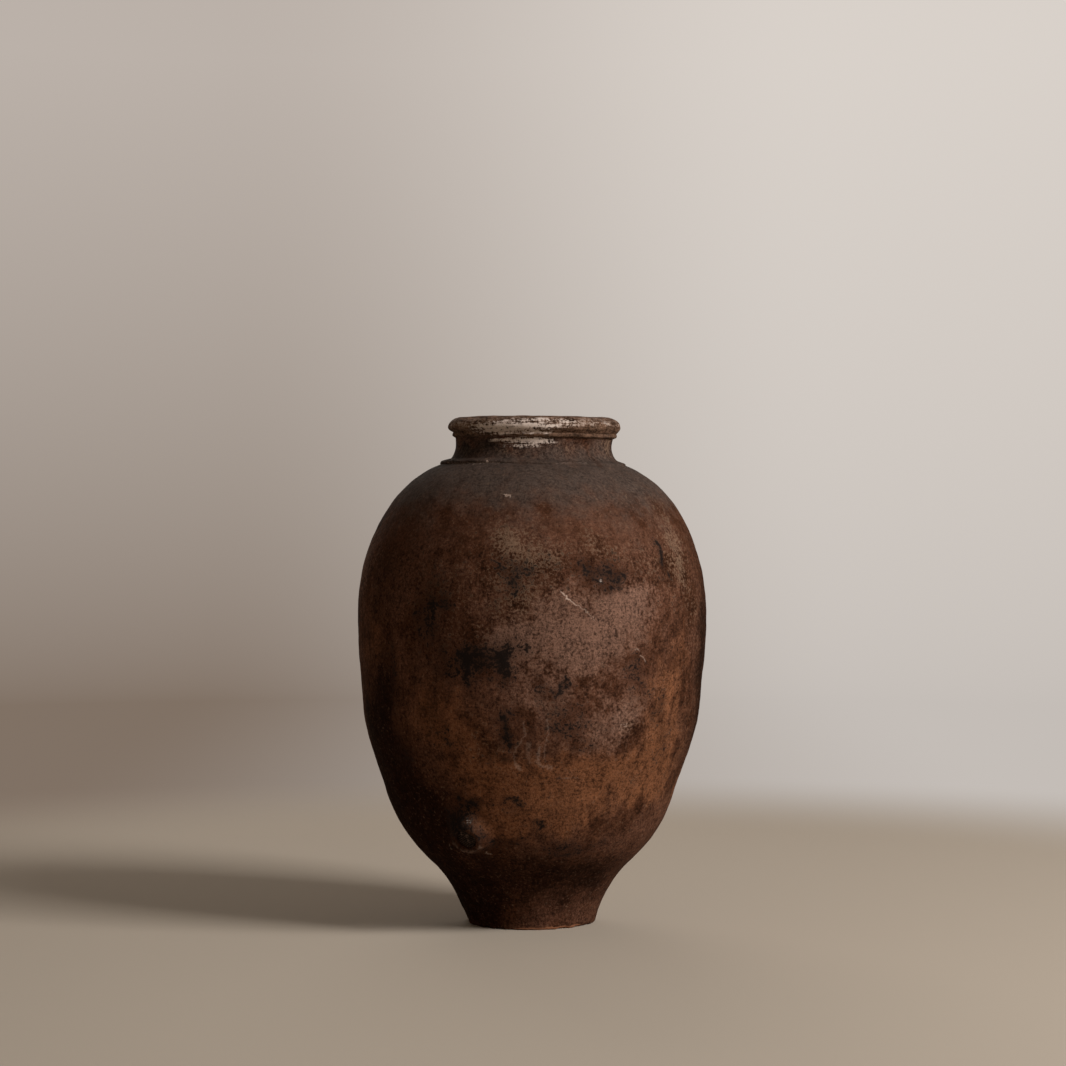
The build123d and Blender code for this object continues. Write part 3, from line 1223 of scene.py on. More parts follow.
@dataclass
class Tap:
    """The boss low on the front, the tapered hole through it, and the wooden bung.

    The tap's axis leaves the wall's outside at a turn, a height and a radius, in millimetres, and
    droops by so many degrees. A level is a height above the wall's outside, along that axis.
    """

    turn: float = -26.6
    height: float = 180.0
    wall_radius: float = 233.371
    droop: float = 29.005
    boss_height: float = 20.0 * MM
    boss_sectors: int = 12
    boss_faces: int = 15
    boss_step: float = 1.5 * MM
    skirt_radius: float = 45.0 * MM
    skirt: tuple[tuple[float, float], ...] = ((7.0, -3.5), (3.0, -0.6), (-2.0, 1.2), (-7.0, 4.0))
    collar: tuple[tuple[float, float], ...] = (
        (34.0, 8.5),
        (30.6, 13.5),
        (28.0, 17.2),
        (25.6, 19.3),
        (23.0, 20.0),
        (20.6, 19.7),
    )
    smear_from: float = 20.0 * MM
    smear_width: float = 24.0 * MM
    lump: float = 0.020
    dent: float = 0.008
    unevenness: float = 2.2 * MM
    sight_from: float = 0.05
    sight_reach: float = 0.09
    bore_margin: float = 0.9 * MM
    lip_margin: float = 0.5 * MM
    hole_radius: float = 18.0 * MM
    hole_taper: float = 4.0
    hole_mouth_level: float = 16.0 * MM
    hole_end_level: float = -6.0 * MM
    cut_levels: tuple[float, float] = (-60.0 * MM, 40.0 * MM)
    bung_gap: float = 0.35 * MM
    bung_recess: float = 5.0 * MM
    bung_end: float = -31.0 * MM
    bung_sectors: int = 8
    bung_faces: int = 12
    bung_step: float = 2.0 * MM
    grain_below: float = 3.0 * MM
    grain_size: float = 0.006
    grain_depth: float = 1.8 * MM
    wall_shape: BVHTree | None = None

    def __post_init__(self) -> None:
        """Places the tap's axis on the wall."""
        self.centre = on_wall(self.turn, self.height, self.wall_radius)
        self.out = on_wall(self.turn, -math.tan(math.radians(self.droop)), 1.0).normalized()

    def hole_radius_at(self, level: float) -> float:
        """Returns the hole's radius at a level."""
        return self.hole_radius - (self.boss_height - level) * math.tan(math.radians(self.hole_taper))

    def level(self, point: Vector) -> float:
        """Returns how far a point is out along the tap's axis."""
        return (point - self.centre).dot(self.out)

    def spoke(self, point: Vector) -> Vector:
        """Returns the way from the tap's axis to a point."""
        return point - self.centre - self.out * self.level(point)

    def section(self, run: Sequence[tuple[float, float]], step: float) -> list[Vector]:
        """Returns points along a section, whose corners are distances from the axis and levels."""
        across = self.out.cross(Vector((0, 0, 1))).normalized()
        return folded([self.centre + across * radius + self.out * level for radius, level in run], step)

    def pierce(self, shell: bmesh.types.BMesh) -> None:
        """Cuts the hole through the lower bowl.

        Args:
            shell: The worked bowl.
        """
        innermost, outermost = self.cut_levels
        doomed = [
            face
            for face in shell.faces
            if innermost < self.level(face.calc_center_median()) < outermost
            and self.spoke(face.calc_center_median()).length < self.hole_radius_at(0)
        ]
        bmesh.ops.delete(shell, geom=doomed, context="FACES")
        lip = [edge for edge in shell.edges if edge.is_boundary]
        for vertex in {v for edge in lip for v in edge.verts}:
            away = self.spoke(vertex.co)
            wanted = self.hole_radius_at(self.level(vertex.co))
            vertex.co += away.normalized() * (wanted - away.length)
        bmesh.ops.bridge_loops(shell, edges=lip)
        for edge in lip:
            edge.smooth = False

    def work_boss(self, vertex: bmesh.types.BMVert) -> None:
        """Smears a vertex of the boss towards the wall and makes it uneven, clear of the hole.

        Args:
            vertex: The vertex, which is moved.
        """
        distance = self.spoke(vertex.co).length
        seen_from = vertex.co + self.out * self.sight_from
        hit = self.wall_shape.ray_cast(seen_from, -self.out, self.sight_reach)
        rise = self.level(hit[0]) if hit[0] else 0.0
        share = max(0.0, min(1.0, (distance - self.smear_from) / self.smear_width))
        wobble = noise.noise_vector(vertex.co / self.lump) * self.unevenness
        wobble += noise.noise_vector(vertex.co / self.dent) * self.unevenness * (1.0 - share)
        vertex.co += self.out * (rise * share) + wobble * (1.0 - 0.5 * share)
        away = self.spoke(vertex.co)
        short = self.hole_radius + self.lip_margin - away.length
        if short > 0:
            vertex.co += away.normalized() * short

    def boss(self, clay: Material) -> Object:
        """Builds the boss, whose skirt is smoothed into the wall round it.

        Args:
            clay: Its material.

        Returns:
            The boss.
        """
        bore = self.hole_radius_at(self.hole_mouth_level)
        bore_end = self.hole_radius_at(self.hole_end_level)
        run = [
            *((self.skirt_radius + reach * MM, level * MM) for reach, level in self.skirt),
            *((radius * MM, level * MM) for radius, level in self.collar),
            (self.hole_radius + 0.8 * MM, self.hole_mouth_level + 2.6 * MM),
            (bore, self.hole_mouth_level),
            (bore_end, self.hole_end_level),
            (bore_end + 8 * MM, self.hole_end_level - 0.5 * MM),
        ]
        section = self.section(run, self.boss_step)
        shell = spun(section, True, self.centre, self.out, self.boss_sectors, self.boss_faces)
        axes = {"use_axis_x": True, "use_axis_y": True, "use_axis_z": True}
        bmesh.ops.smooth_vert(shell, verts=shell.verts, factor=0.5, **axes)
        for vertex in shell.verts:
            level = self.level(vertex.co)
            if self.spoke(vertex.co).length > self.hole_radius_at(level) + self.bore_margin:
                self.work_boss(vertex)
        bmesh.ops.recalc_face_normals(shell, faces=shell.faces)
        piece = finished("tap_boss_clay", shell)
        WEATHER.lay_on(piece.data, np.ones(len(piece.data.vertices)))
        dress(piece, clay, "jar", "tap_boss")
        return piece

    def bung(self, wood: Material) -> Object:
        """Builds the bung: a tapered plug with a worn, slightly dished outer end.

        Args:
            wood: Its material.

        Returns:
            The bung.
        """
        top = self.boss_height - self.bung_recess
        radius = self.hole_radius_at(top) - self.bung_gap
        tail = self.hole_radius_at(self.bung_end) - self.bung_gap
        run = [
            (0.0, top - 1.2 * MM),
            (radius * 0.55, top - 0.9 * MM),
            (radius * 0.82, top - 0.2 * MM),
            (radius - 1.2 * MM, top - 0.1 * MM),
            (radius - 0.3 * MM, top - 0.8 * MM),
            (radius - 0.12 * MM, top - 2.0 * MM),
            (tail, self.bung_end + 1.5 * MM),
            (tail - 1.5 * MM, self.bung_end),
            (0.0, self.bung_end),
        ]
        section = self.section(run, self.bung_step)
        shell = spun(section, False, self.centre, self.out, self.bung_sectors, self.bung_faces)
        for vertex in shell.verts:
            if self.level(vertex.co) > top - self.grain_below:
                vertex.co -= self.out * abs(noise.noise(vertex.co / self.grain_size)) * self.grain_depth
        piece = finished("bung_wood_plug", shell)
        dress(piece, wood, "bung", "bung")
        return piece


# ---------------------------------------------------------------- finishes


class ShaderTree:
    """A material's node tree, built a step at a time."""

    def __init__(self, name: str) -> None:
        """Starts a material with one shader.

        Args:
            name: The material's name.
        """
        self.material = bpy.data.materials.new(name)
        self.material.use_nodes = True
        self.tree = self.material.node_tree
        self.shader = self.tree.nodes["Principled BSDF"]
        self.object_point = self.node("ShaderNodeTexCoord").outputs["Object"]

    def node(self, kind: str, **settings: object) -> Node:
        """Adds a node.

        Args:
            kind: Its type.
            settings: Properties to set on it.

        Returns:
            The node.
        """
        made = self.tree.nodes.new(kind)
        for name, value in settings.items():
            setattr(made, name, value)
        return made

    def feed(self, socket: NodeSocket, value: NodeSocket | float | Sequence[float]) -> None:
        """Links a socket to another, or sets its value.

        Args:
            socket: The socket that is fed.
            value: What it gets: another socket, a number, a vector or a colour.
        """
        if isinstance(value, NodeSocket):
            self.tree.links.new(value, socket)
        elif isinstance(value, (int, float)):
            socket.default_value = value
        else:
            size = len(socket.default_value)
            socket.default_value = (*value, 1.0)[:size]

    def maths(self, operation: str, a: NodeSocket | float, b: NodeSocket | float = 0.0) -> NodeSocket:
        """Works out one sum.

        Args:
            operation: The sum's name.
            a: Its first value.
            b: Its second value.

        Returns:
            The result.
        """
        step = self.node("ShaderNodeMath", operation=operation)
        self.feed(step.inputs[0], a)
        self.feed(step.inputs[1], b)
        return step.outputs[0]

    def vectors(self, operation: str, a: Flow, b: Flow) -> Node:
        """Works out one sum of vectors.

        Args:
            operation: The sum's name.
            a: Its first vector.
            b: Its second vector.

        Returns:
            The sum's node, whose first output is a vector.
        """
        step = self.node("ShaderNodeVectorMath", operation=operation)
        self.feed(step.inputs[0], a)
        self.feed(step.inputs[1], b)
        return step

    def blend(self, *terms: tuple[NodeSocket, float], start: NodeSocket | float = 0.0) -> NodeSocket:
        """Adds weighted values.

        Args:
            terms: Each value and its weight.
            start: What they are added to.

        Returns:
            The total.
        """
        total = start
        for value, weight in terms:
            step = self.node("ShaderNodeMath", operation="MULTIPLY_ADD")
            self.feed(step.inputs[0], value)
            self.feed(step.inputs[1], weight)
            self.feed(step.inputs[2], total)
            total = step.outputs[0]
        return total

    def between(self, value: NodeSocket, low: float, high: float, most: float = 1.0) -> NodeSocket:
        """Makes a smooth mask.

        Args:
            value: What the mask follows.
            low: The value at which it is 0.
            high: The value at which it is full, which may be the lower of the two.
            most: The full mask.

        Returns:
            The mask.
        """
        step = self.node("ShaderNodeMapRange", interpolation_type="SMOOTHSTEP")
        self.feed(step.inputs["Value"], value)
        self.feed(step.inputs["From Min"], low)
        self.feed(step.inputs["From Max"], high)
        self.feed(step.inputs["To Max"], most)
        return step.outputs["Result"]

    def stretched(self, point: NodeSocket, scale: Sequence[float]) -> NodeSocket:
        """Scales a point along each axis.

        Args:
            point: The point.
            scale: The three scales.

        Returns:
            The scaled point.
        """
        step = self.node("ShaderNodeMapping")
        self.feed(step.inputs["Vector"], point)
        self.feed(step.inputs["Scale"], scale)
        return step.outputs["Vector"]

    def combined(self, value: NodeSocket) -> NodeSocket:
        """Makes a vector of one value.

        Args:
            value: The value of all its parts.

        Returns:
            The vector.
        """
        step = self.node("ShaderNodeCombineXYZ")
        for part in step.inputs:
            self.feed(part, value)
        return step.outputs[0]

    def cloud(self, point: NodeSocket, scale: float, detail: float, roughness: float) -> NodeSocket:
        """Makes fractal noise about a half.

        Args:
            point: Where it is read.
            scale: Clouds in a metre, roughly.
            detail: Its finer scales.
            roughness: How strong each finer scale is.

        Returns:
            The noise.
        """
        step = self.node("ShaderNodeTexNoise")
        self.feed(step.inputs["Vector"], point)
        self.feed(step.inputs["Scale"], scale)
        self.feed(step.inputs["Detail"], detail)
        self.feed(step.inputs["Roughness"], roughness)
        return step.outputs["Fac"]

    def wandering(self, scale: float, amount: float) -> NodeSocket:
        """Pushes the object's point about by noise, which keeps patches from looking round.

        Args:
            scale: The noise's scale.
            amount: How far it pushes, in metres.

        Returns:
            The pushed point.
        """
        step = self.node("ShaderNodeTexNoise")
        self.feed(step.inputs["Vector"], self.object_point)
        self.feed(step.inputs["Scale"], scale)
        self.feed(step.inputs["Detail"], 3.0)
        push = self.vectors("SUBTRACT", step.outputs["Color"], (0.5, 0.5, 0.5)).outputs[0]
        scaled = self.vectors("MULTIPLY", push, (amount, amount, amount)).outputs[0]
        return self.vectors("ADD", self.object_point, scaled).outputs[0]

    def mark(self, mark: Mark) -> NodeSocket:
        """Returns the strength of a mark on the piece."""
        return self.node("ShaderNodeAttribute", attribute_name=mark.value).outputs["Fac"]

    def traced(self, traces: Sequence[Trace], point: NodeSocket) -> NodeSocket:
        """Draws thin lines on the front of the jar.

        Args:
            traces: The lines.
            point: The surface point, pushed about a little to make the lines ragged.

        Returns:
            Each line's strength on it, and 0 a line's reach away.
        """
        seen = self.vectors("MULTIPLY", point, (1.0, 0.0, 1.0)).outputs[0]
        total: NodeSocket | float = 0.0
        for trace in traces:
            for (x, z), (next_x, next_z) in zip(trace.points, trace.points[1:]):
                start, way = Vector((x, 0, z)) * MM, Vector((next_x - x, 0, next_z - z)) * MM
                offset = self.vectors("SUBTRACT", seen, start).outputs[0]
                dot = self.vectors("DOT_PRODUCT", offset, way).outputs["Value"]
                share = self.maths("DIVIDE", dot, way.length_squared)
                share.node.use_clamp = True
                foot = self.vectors("MULTIPLY", self.combined(share), way).outputs[0]
                distance = self.vectors("DISTANCE", offset, foot).outputs["Value"]
                near = self.between(distance, trace.reach * MM, 0.0, trace.strength)
                total = self.maths("MAXIMUM", near, total)
        axes = self.node("ShaderNodeSeparateXYZ")
        self.feed(axes.inputs[0], point)
        return self.maths("MULTIPLY", total, self.maths("LESS_THAN", axes.outputs["Y"], 0.0))

    def tint(self, under: Flow, over: Flow, mask: NodeSocket | float) -> NodeSocket:
        """Lays one colour over another.

        Args:
            under: The colour below.
            over: The colour on top.
            mask: How much of it shows.

        Returns:
            The result.
        """
        step = self.node("ShaderNodeMix", data_type="RGBA")
        self.feed(step.inputs["Factor"], mask)
        self.feed(step.inputs[6], under)
        self.feed(step.inputs[7], over)
        return step.outputs[2]

    def bumped(self, height: NodeSocket, distance: float) -> None:
        """Raises the surface by a height map.

        Args:
            height: The map.
            distance: The height of its 1, in metres.
        """
        step = self.node("ShaderNodeBump")
        self.feed(step.inputs["Strength"], 1.0)
        self.feed(step.inputs["Distance"], distance)
        self.feed(step.inputs["Height"], height)
        self.feed(self.shader.inputs["Normal"], step.outputs["Normal"])


class ClayTree(ShaderTree):
    """A clay material's node tree, with the noise that breaks up its colours and marks."""

    def __init__(self, name: str) -> None:
        """Starts the material and adds its noise, from broad clouds to single grains.

        Args:
            name: The material's name.
        """
        super().__init__(name)
        point, loose = self.object_point, self.wandering(9.0, 0.035)
        upright = self.stretched(loose, (1.0, 1.0, 0.13))
        upright_fine = self.stretched(point, (1.0, 1.0, 0.10))
        level = self.stretched(loose, (0.12, 0.12, 1.0))
        level_fine = self.stretched(point, (0.09, 0.09, 1.0))
        self.clouds = {
            "broad": self.cloud(loose, 4.5, 3.0, 0.55),
            "mottle": self.cloud(loose, 16.0, 9.0, 0.62),
            "blotch": self.cloud(loose, 42.0, 5.0, 0.60),
            "fissure": self.cloud(loose, 60.0, 4.0, 0.62),
            "fine": self.cloud(point, 90.0, 6.0, 0.70),
            "speckle": self.cloud(point, 200.0, 2.0, 0.55),
            "grain": self.cloud(point, 430.0, 2.0, 0.60),
            "streak": self.cloud(upright, 52.0, 6.0, 0.65),
            "fibre": self.cloud(upright_fine, 200.0, 3.0, 0.60),
            "sweep": self.cloud(level, 200.0, 4.0, 0.60),
            "drag": self.cloud(level_fine, 330.0, 4.0, 0.65),
        }
        self.clouds["specks"] = self.total(grain=0.45, speckle=0.30, fine=0.25)
        self.clouds["pits"] = self.between(self.clouds["specks"], 0.57, 0.68)

    def source(self, name: str) -> NodeSocket:
        """Returns the noise of a name, or the strength of the mark of that name."""
        return self.clouds[name] if name in self.clouds else self.mark(Mark(name))

    def total(self, start: NodeSocket | float = 0.0, **weights: float) -> NodeSocket:
        """Returns the start plus marks and noise, each given by its name and weight."""
        return self.blend(*[(self.source(name), weight) for name, weight in weights.items()], start=start)


@dataclass(frozen=True)
class ClayFinish:
    """Unglazed clay: fired red-brown, sooty, dusted and limed by long use, with painted shade and painted
    highlights among its marks. Colours are linear.
    """

    name: str
    deep: Colour = (0.050, 0.0190, 0.0092)
    mid: Colour = (0.105, 0.0465, 0.0280)
    orange: Colour = (0.158, 0.0640, 0.0300)
    pink: Colour = (0.172, 0.0960, 0.0690)
    buff: Colour = (0.190, 0.1230, 0.0820)
    grey: Colour = (0.060, 0.0465, 0.0395)
    smoke_and_shade: Colour = (0.040, 0.0235, 0.0170)
    black: Colour = (0.011, 0.0076, 0.0066)
    umber: Colour = (0.0130, 0.0040, 0.0013)
    white: Colour = (0.60, 0.50, 0.44)
    scar_and_highlight: Colour = (0.50, 0.37, 0.30)
    fresh: Colour = (0.26, 0.115, 0.062)
    limed: float = 0.0
    bleached: float = 0.0
    turned: float = 0.0
    coarse: float = 0.40
    neck_coarse: float = 0.45
    darkest: float = 0.3
    roughness: float = 0.86
    gloss: float = 0.04
    relief: float = 1.4 * MM

    def ground(self, tree: ClayTree) -> NodeSocket:
        """Lays the fired colours, with warm, bloomed, dampened and dusty parts, and some painted shade and
        highlight.

        Args:
            tree: The material's nodes.

        Returns:
            The colour.
        """
        body = tree.total(mottle=0.55, broad=0.25, blotch=0.2)
        colour = tree.tint(self.deep, self.mid, tree.between(body, 0.40, 0.60))
        warm = tree.total(-1.3, warm=0.8, mottle=1.2, blotch=0.7, streak=0.7)
        colour = tree.tint(colour, self.orange, tree.between(warm, 0.15, 0.80, 0.9))
        # Pink, partly the clay's flush and partly a painted highlight on the top of the tap.
        bloom = tree.total(-1.5, bloom=0.85, mottle=1.1, blotch=1.1, speckle=0.8)
        colour = tree.tint(colour, self.pink, tree.between(bloom, 0.15, 0.85, 0.85))
        # The umber is partly staining and partly painted shade: on the left side, and in the crease under the
        # coil and the groove at the bead.
        damp = tree.total(-1.15, damp=0.9, mottle=1.2, blotch=0.5, streak=0.6)
        colour = tree.tint(colour, self.umber, tree.between(damp, 0.1, 0.8, 0.96))
        dust = tree.total(-0.75, dust=0.9, mottle=1.0, fine=0.5)
        colour = tree.tint(colour, self.grey, tree.between(dust, 0.1, 0.9, 0.85))
        return tree.tint(colour, self.buff, self.bleached) if self.bleached else colour

    def coarseness(self, tree: ClayTree) -> NodeSocket:
        """Works out how coarse the surface is: less so on the shoulder than below it and on the neck.

        Args:
            tree: The material's nodes.

        Returns:
            A share, 1 where it is coarsest on the wall.
        """
        axes = tree.node("ShaderNodeSeparateXYZ")
        tree.feed(axes.inputs[0], tree.object_point)
        level = axes.outputs["Z"]
        below = tree.between(level, 0.725, 0.640, self.coarse)
        above = tree.between(level, 0.810, 0.840, self.neck_coarse)
        return tree.maths("ADD", tree.maths("ADD", below, above), 1.0 - self.coarse)

    def toned(self, tree: ClayTree, colour: NodeSocket, coarseness: NodeSocket) -> NodeSocket:
        """Makes the colour lighter and darker by the grain, the more where it is coarse.

        Args:
            tree: The material's nodes.
            colour: The colour so far.
            coarseness: How coarse the surface is.

        Returns:
            The colour.
        """
        tone = tree.total(
            -3.65 - self.turned / 2,
            blotch=1.4,
            streak=0.9,
            fibre=0.7,
            fine=1.4,
            speckle=2.3,
            grain=2.0,
            sweep=0.6,
            drag=self.turned,
        )
        change = tree.maths("MULTIPLY", tree.maths("SUBTRACT", tone, 1.0), coarseness)
        tone = tree.maths("MAXIMUM", tree.maths("ADD", 1.0, change), self.darkest)
        return tree.vectors("MULTIPLY", colour, tree.combined(tone)).outputs[0]

    def rubbed(self, tree: ClayTree, colour: NodeSocket, coarseness: NodeSocket) -> NodeSocket:
        """Adds pale rubbed places, dark flecks and fine cracks.

        Args:
            tree: The material's nodes.
            colour: The colour so far.
            coarseness: How coarse the surface is.

        Returns:
            The colour.
        """
        buff = tree.total(-3.3, buff=1.0, blotch=1.0, speckle=2.6, fine=1.6, grain=1.4)
        colour = tree.tint(colour, self.buff, tree.between(buff, 0.30, 1.05, 0.72))
        pale = tree.between(tree.total(speckle=0.6, streak=0.4), 0.60, 0.69, 0.35)
        colour = tree.tint(colour, self.buff, pale)
        flecks = tree.between(tree.total(fine=0.5, speckle=0.2, blotch=0.3), 0.545, 0.63, 0.80)
        colour = tree.tint(colour, self.umber, tree.maths("MULTIPLY", flecks, coarseness))
        crack = tree.maths("ABSOLUTE", tree.maths("SUBTRACT", tree.source("fissure"), 0.5))
        thin = tree.maths("SUBTRACT", 1.0, tree.between(crack, 0.004, 0.022))
        cracked = tree.between(tree.total(blotch=0.5, mottle=0.5), 0.46, 0.58, 0.62)
        cracks = tree.maths("MULTIPLY", tree.maths("MULTIPLY", thin, cracked), coarseness)
        return tree.tint(colour, self.umber, cracks)

    def sooted(self, tree: ClayTree, colour: NodeSocket) -> NodeSocket:
        """Adds smoky haze, cracked sooty crust and black specks; round the tap they are partly painted shade,
        darkening the collar and its lit right flank.

        Args:
            tree: The material's nodes.
            colour: The colour so far.

        Returns:
            The colour.
        """
        # Round the tap this haze and blackening are partly painted shade, on the collar and its lit right
        # flank.
        haze = tree.total(-2.4, soot=1.0, mottle=1.0, blotch=1.2, fine=1.2, speckle=1.4)
        colour = tree.tint(colour, self.smoke_and_shade, tree.between(haze, 0.15, 1.00, 0.70))
        soot = tree.total(-4.72, soot=1.05, mottle=1.0, blotch=1.5, fine=2.4, speckle=2.8, grain=1.6)
        soot = tree.between(soot, 0.28, 0.92, 0.95)
        marked = tree.between(tree.source("soot"), 0.02, 0.30)
        colour = tree.tint(colour, self.black, tree.maths("MULTIPLY", soot, marked))
        return tree.tint(colour, self.black, tree.between(tree.source("specks"), 0.585, 0.65, 0.7))

    def whitened(self, tree: ClayTree, colour: NodeSocket) -> NodeSocket:
        """Adds limy crust, drawn out level as the surface was turned; on the top of the tap its specks are
        partly a painted highlight.

        Args:
            tree: The material's nodes.
            colour: The colour so far.

        Returns:
            The colour.
        """
        mark = tree.source("lime_and_highlight")
        start = tree.maths("ADD", tree.maths("MINIMUM", mark, 1.05), self.limed - 4.92)
        lime_and_highlight = tree.total(start, drag=3.4, mottle=0.5, fine=1.6, speckle=2.6, grain=2.0)
        lime_and_highlight = tree.between(lime_and_highlight, 0.18, 1.05, 0.95)
        marked = tree.between(tree.maths("ADD", mark, self.limed), 0.04, 0.25)
        return tree.tint(colour, self.white, tree.maths("MULTIPLY", lime_and_highlight, marked))

    def scratches_and_highlights(self, tree: ClayTree, colour: NodeSocket) -> NodeSocket:
        """Adds the thin pale lines, some of them painted highlights on the coil's edge and under the tap, and
        the fresh clay of worn edges.

        Args:
            tree: The material's nodes.
            colour: The colour so far.

        Returns:
            The colour.
        """
        worn = tree.between(tree.total(fine=0.5, speckle=0.5), 0.34, 0.54)
        # Among these lines, those on the coil's edge and round the tap's hole are painted highlights.
        lines = tree.maths("MULTIPLY", tree.traced(TRACES, tree.wandering(150.0, 0.012)), worn)
        colour = tree.tint(colour, self.scar_and_highlight, lines)
        wear = tree.total(-0.9, wear=1.0, fine=1.4)
        return tree.tint(colour, self.fresh, tree.between(wear, 0.3, 0.6, 0.85))

    def material(self) -> Material:
        """Makes the material, whose colours lie over each other in the order in which they came.

        Returns:
            The material.
        """
        tree = ClayTree(self.name)
        coarseness = self.coarseness(tree)
        colour = self.toned(tree, self.ground(tree), coarseness)
        colour = self.rubbed(tree, colour, coarseness)
        colour = self.sooted(tree, colour)
        colour = self.scratches_and_highlights(tree, self.whitened(tree, colour))
        tree.feed(tree.shader.inputs["Base Color"], colour)
        tree.feed(tree.shader.inputs["Roughness"], self.roughness)
        tree.feed(tree.shader.inputs["Specular IOR Level"], self.gloss)
        tree.bumped(tree.total(fine=0.9, speckle=0.4, grain=0.2, pits=-0.35), self.relief)
        return tree.material


@dataclass(frozen=True)
class WoodFinish:
    """The bung's old end grain, dark with oil. Colours are linear."""

    name: str = "oiled_end_grain"
    dark: Colour = (0.0060, 0.0034, 0.0022)
    light: Colour = (0.040, 0.0230, 0.0160)
    crust: Colour = (0.120, 0.0760, 0.0580)
    roughness: float = 0.85
    gloss: float = 0.12
    relief: float = 0.6 * MM

    def material(self) -> Material:
        """Makes the material.

        Returns:
            The material.
        """
        tree = ShaderTree(self.name)
        rings = tree.node("ShaderNodeTexWave", wave_type="RINGS", rings_direction="Y")
        tree.feed(rings.inputs["Vector"], tree.wandering(30.0, 0.006))
        tree.feed(rings.inputs["Scale"], 90.0)
        tree.feed(rings.inputs["Distortion"], 3.0)
        fibre = tree.cloud(tree.object_point, 300.0, 4.0, 0.6)
        figure = tree.blend((rings.outputs["Fac"], 0.4), (fibre, 0.6))
        colour = tree.tint(self.dark, self.light, tree.between(figure, 0.35, 0.80))
        crusted = tree.between(tree.cloud(tree.object_point, 170.0, 4.0, 0.65), 0.53, 0.62, 0.7)
        tree.feed(tree.shader.inputs["Base Color"], tree.tint(colour, self.crust, crusted))
        tree.feed(tree.shader.inputs["Roughness"], self.roughness)
        tree.feed(tree.shader.inputs["Specular IOR Level"], self.gloss)
        tree.bumped(figure, self.relief)
        return tree.material


# ---------------------------------------------------------------- the studio


@dataclass(frozen=True)
class Backdrop:
    """A pale floor that curves up into an all-round wall.

    The wall's colour is a glow for the camera alone that lights nothing: painted light and shade, lighter to
    the right and higher up, with a painted shadow low on the left.
    """

    radius: float = 7.0
    cove: float = 1.6
    wall_height: float = 4.5
    floor: Colour = (0.430, 0.372, 0.308)
    # Painted light and shade on the wall: a painted shadow low on the left, and lit to the right and higher
    # up.
    shadowed_low_left: Colour = (0.215, 0.165, 0.128)
    lit_low_right: Colour = (0.552, 0.509, 0.474)
    shaded_high_left: Colour = (0.497, 0.440, 0.397)
    lit_high_right: Colour = (0.692, 0.638, 0.590)
    near: float = 1.4
    far: float = 2.6
    half_width: float = 1.3
    sight_height: float = 2.6
    rise_power: float = 0.62
    roughness: float = 0.9
    gloss: float = 0.1

    def finish(self) -> Material:
        """Makes the plaster: lit near the jar, and further off a camera-only glow of painted light and shade.

        Returns:
            The material.
        """
        tree = ShaderTree("pale_plaster")
        axes = tree.node("ShaderNodeSeparateXYZ")
        tree.feed(axes.inputs[0], tree.object_point)
        x, z = axes.outputs["X"], axes.outputs["Z"]
        across = tree.between(x, -self.half_width, self.half_width)
        rise = tree.maths("MAXIMUM", tree.maths("DIVIDE", z, self.sight_height), 0)
        rise = tree.maths("MINIMUM", tree.maths("POWER", rise, self.rise_power), 1.0)
        low = tree.tint(self.shadowed_low_left, self.lit_low_right, across)
        high = tree.tint(self.shaded_high_left, self.lit_high_right, across)
        # The glow that paints the wall's light and shade, for camera rays alone.
        shade = tree.node("ShaderNodeEmission")
        tree.feed(shade.inputs["Color"], tree.tint(low, high, rise))
        flat = tree.vectors("MULTIPLY", tree.object_point, (1.0, 1.0, 0.0)).outputs[0]
        away = tree.between(tree.vectors("LENGTH", flat, (0, 0, 0)).outputs["Value"], self.near, self.far)
        seen = tree.node("ShaderNodeLightPath").outputs["Is Camera Ray"]
        mix = tree.node("ShaderNodeMixShader")
        tree.feed(mix.inputs[0], tree.maths("MULTIPLY", away, seen))
        tree.feed(mix.inputs[1], tree.shader.outputs[0])
        tree.feed(mix.inputs[2], shade.outputs[0])
        tree.feed(tree.tree.nodes["Material Output"].inputs["Surface"], mix.outputs[0])
        tree.feed(tree.shader.inputs["Base Color"], self.floor)
        tree.feed(tree.shader.inputs["Roughness"], self.roughness)
        tree.feed(tree.shader.inputs["Specular IOR Level"], self.gloss)
        return tree.material

    def build(self) -> Object:
        """Builds the floor and wall as one spun sheet.

        Returns:
            The sheet.
        """
        flat_end = Vector((self.radius - self.cove, 0, 0))
        wall_start = Vector((self.radius, 0, self.cove))
        section = chain(
            straight(Vector(), flat_end, 0.5),
            curve(flat_end, Vector((1, 0, 0)), wall_start, Vector((0, 0, 1)), 0.08),
            straight(wall_start, Vector((self.radius, 0, self.wall_height)), 0.5),
        )
        sheet = spun(section, False, Vector(), Vector((0, 0, 1)), 8, 12)
        for face in sheet.faces:
            if face.normal.z < -0.1 or face.normal.dot(face.calc_center_median()) > 0:
                face.normal_flip()
        piece = finished("backdrop", sheet)
        piece.data.materials.append(self.finish())
        return piece


@dataclass(frozen=True)
class Lamp:
    """A soft square lamp that faces the jar and that no view shows."""

    name: str
    turn: float
    distance: float
    height: float
    size: float
    power: float
    colour: Colour = (1.0, 1.0, 1.0)

    def build(self, target: Vector) -> Object:
        """Hangs the lamp.

        Args:
            target: The point that it faces.

        Returns:
            The lamp.
        """
        data = bpy.data.lights.new(self.name, "AREA")
        data.shape, data.size, data.energy, data.color = "SQUARE", self.size, self.power, self.colour
        lamp = bpy.data.objects.new(self.name, data)
        lamp.location = on_wall(self.turn, self.height / MM, self.distance / MM)
        lamp.rotation_euler = (target - lamp.location).to_track_quat("-Z", "Y").to_euler()
        lamp.visible_camera = False
        bpy.context.scene.collection.objects.link(lamp)
        return lamp


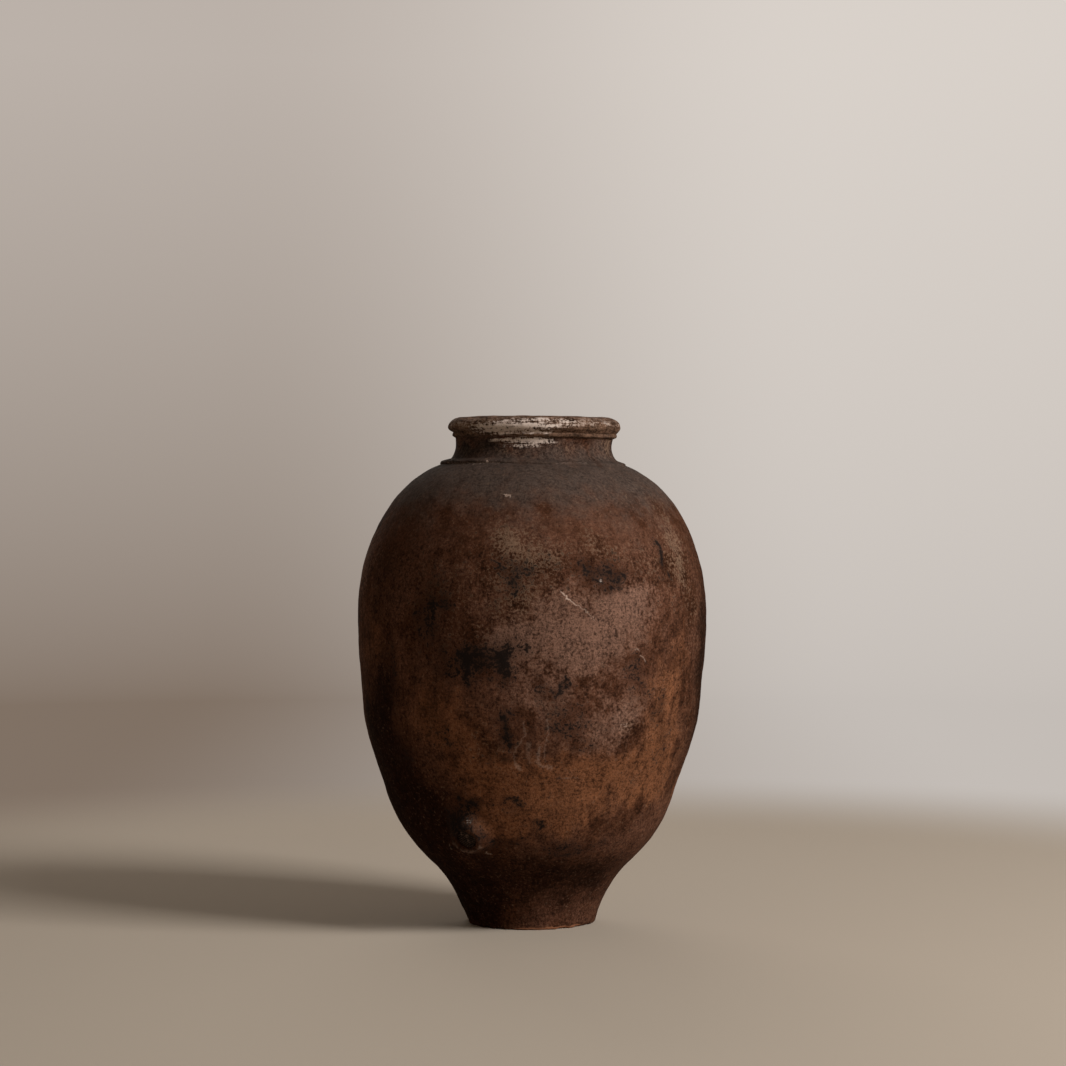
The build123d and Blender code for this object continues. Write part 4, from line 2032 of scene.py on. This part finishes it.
@dataclass(frozen=True)
class Studio:
    """The backdrop, soft lamps, a dim warm sky, and the camera where the photograph was taken."""

    backdrop: Backdrop = field(default_factory=Backdrop)
    lamps: tuple[Lamp, ...] = (
        Lamp("key", 60.0, 5.6, 4.0, 2.4, 470.0, (1.0, 0.97, 0.94)),
        Lamp("back_fill", 190.0, 5.6, 3.4, 3.5, 90.0, (1.0, 0.93, 0.86)),
    )
    target: Vector = field(default_factory=lambda: Vector((0.0, 0.0, 0.45)))
    sky_colour: Colour = (1.0, 0.86, 0.72)
    sky: float = 0.13
    lens: float = 94.56
    film_width: float = 36.0
    camera_place: Vector = field(default_factory=lambda: Vector((3.0, -5003.6, 767.0)) * MM)
    camera_pitch: float = 0.84

    def camera(self) -> Object:
        """Places the camera.

        Returns:
            The camera.
        """
        data = bpy.data.cameras.new("camera")
        data.lens, data.sensor_width = self.lens, self.film_width
        camera = bpy.data.objects.new("camera", data)
        camera.location = self.camera_place
        camera.rotation_euler = (math.radians(90.0 - self.camera_pitch), 0.0, 0.0)
        bpy.context.scene.collection.objects.link(camera)
        bpy.context.scene.camera = camera
        return camera

    def build(self) -> None:
        """Builds the backdrop, lamps, sky and camera."""
        self.backdrop.build()
        for lamp in self.lamps:
            lamp.build(self.target)
        world = bpy.data.worlds.new("sky")
        world.use_nodes = True
        background = world.node_tree.nodes["Background"]
        background.inputs["Color"].default_value = (*self.sky_colour, 1.0)
        background.inputs["Strength"].default_value = self.sky
        bpy.context.scene.world = world
        bpy.context.scene.view_settings.view_transform = "Standard"
        self.camera()


def main() -> None:
    """Builds the jar's wall, mouth and tap, then the studio."""
    logging.basicConfig(level=logging.INFO, format="%(relativeCreated)6d ms %(message)s")
    noise.seed_set(NOISE_SEED)  # the coil and the boss would differ from run to run without it
    clay = ClayFinish("weathered_clay").material()
    limed = ClayFinish("limed_clay", limed=0.04, bleached=0.32, turned=2.6).material()
    tap = Tap()
    Wall().build(clay, tap)
    Mouth().build(clay, limed)
    tap.boss(clay)
    tap.bung(WoodFinish().material())
    Studio().build()


if __name__ == "__main__":
    main()
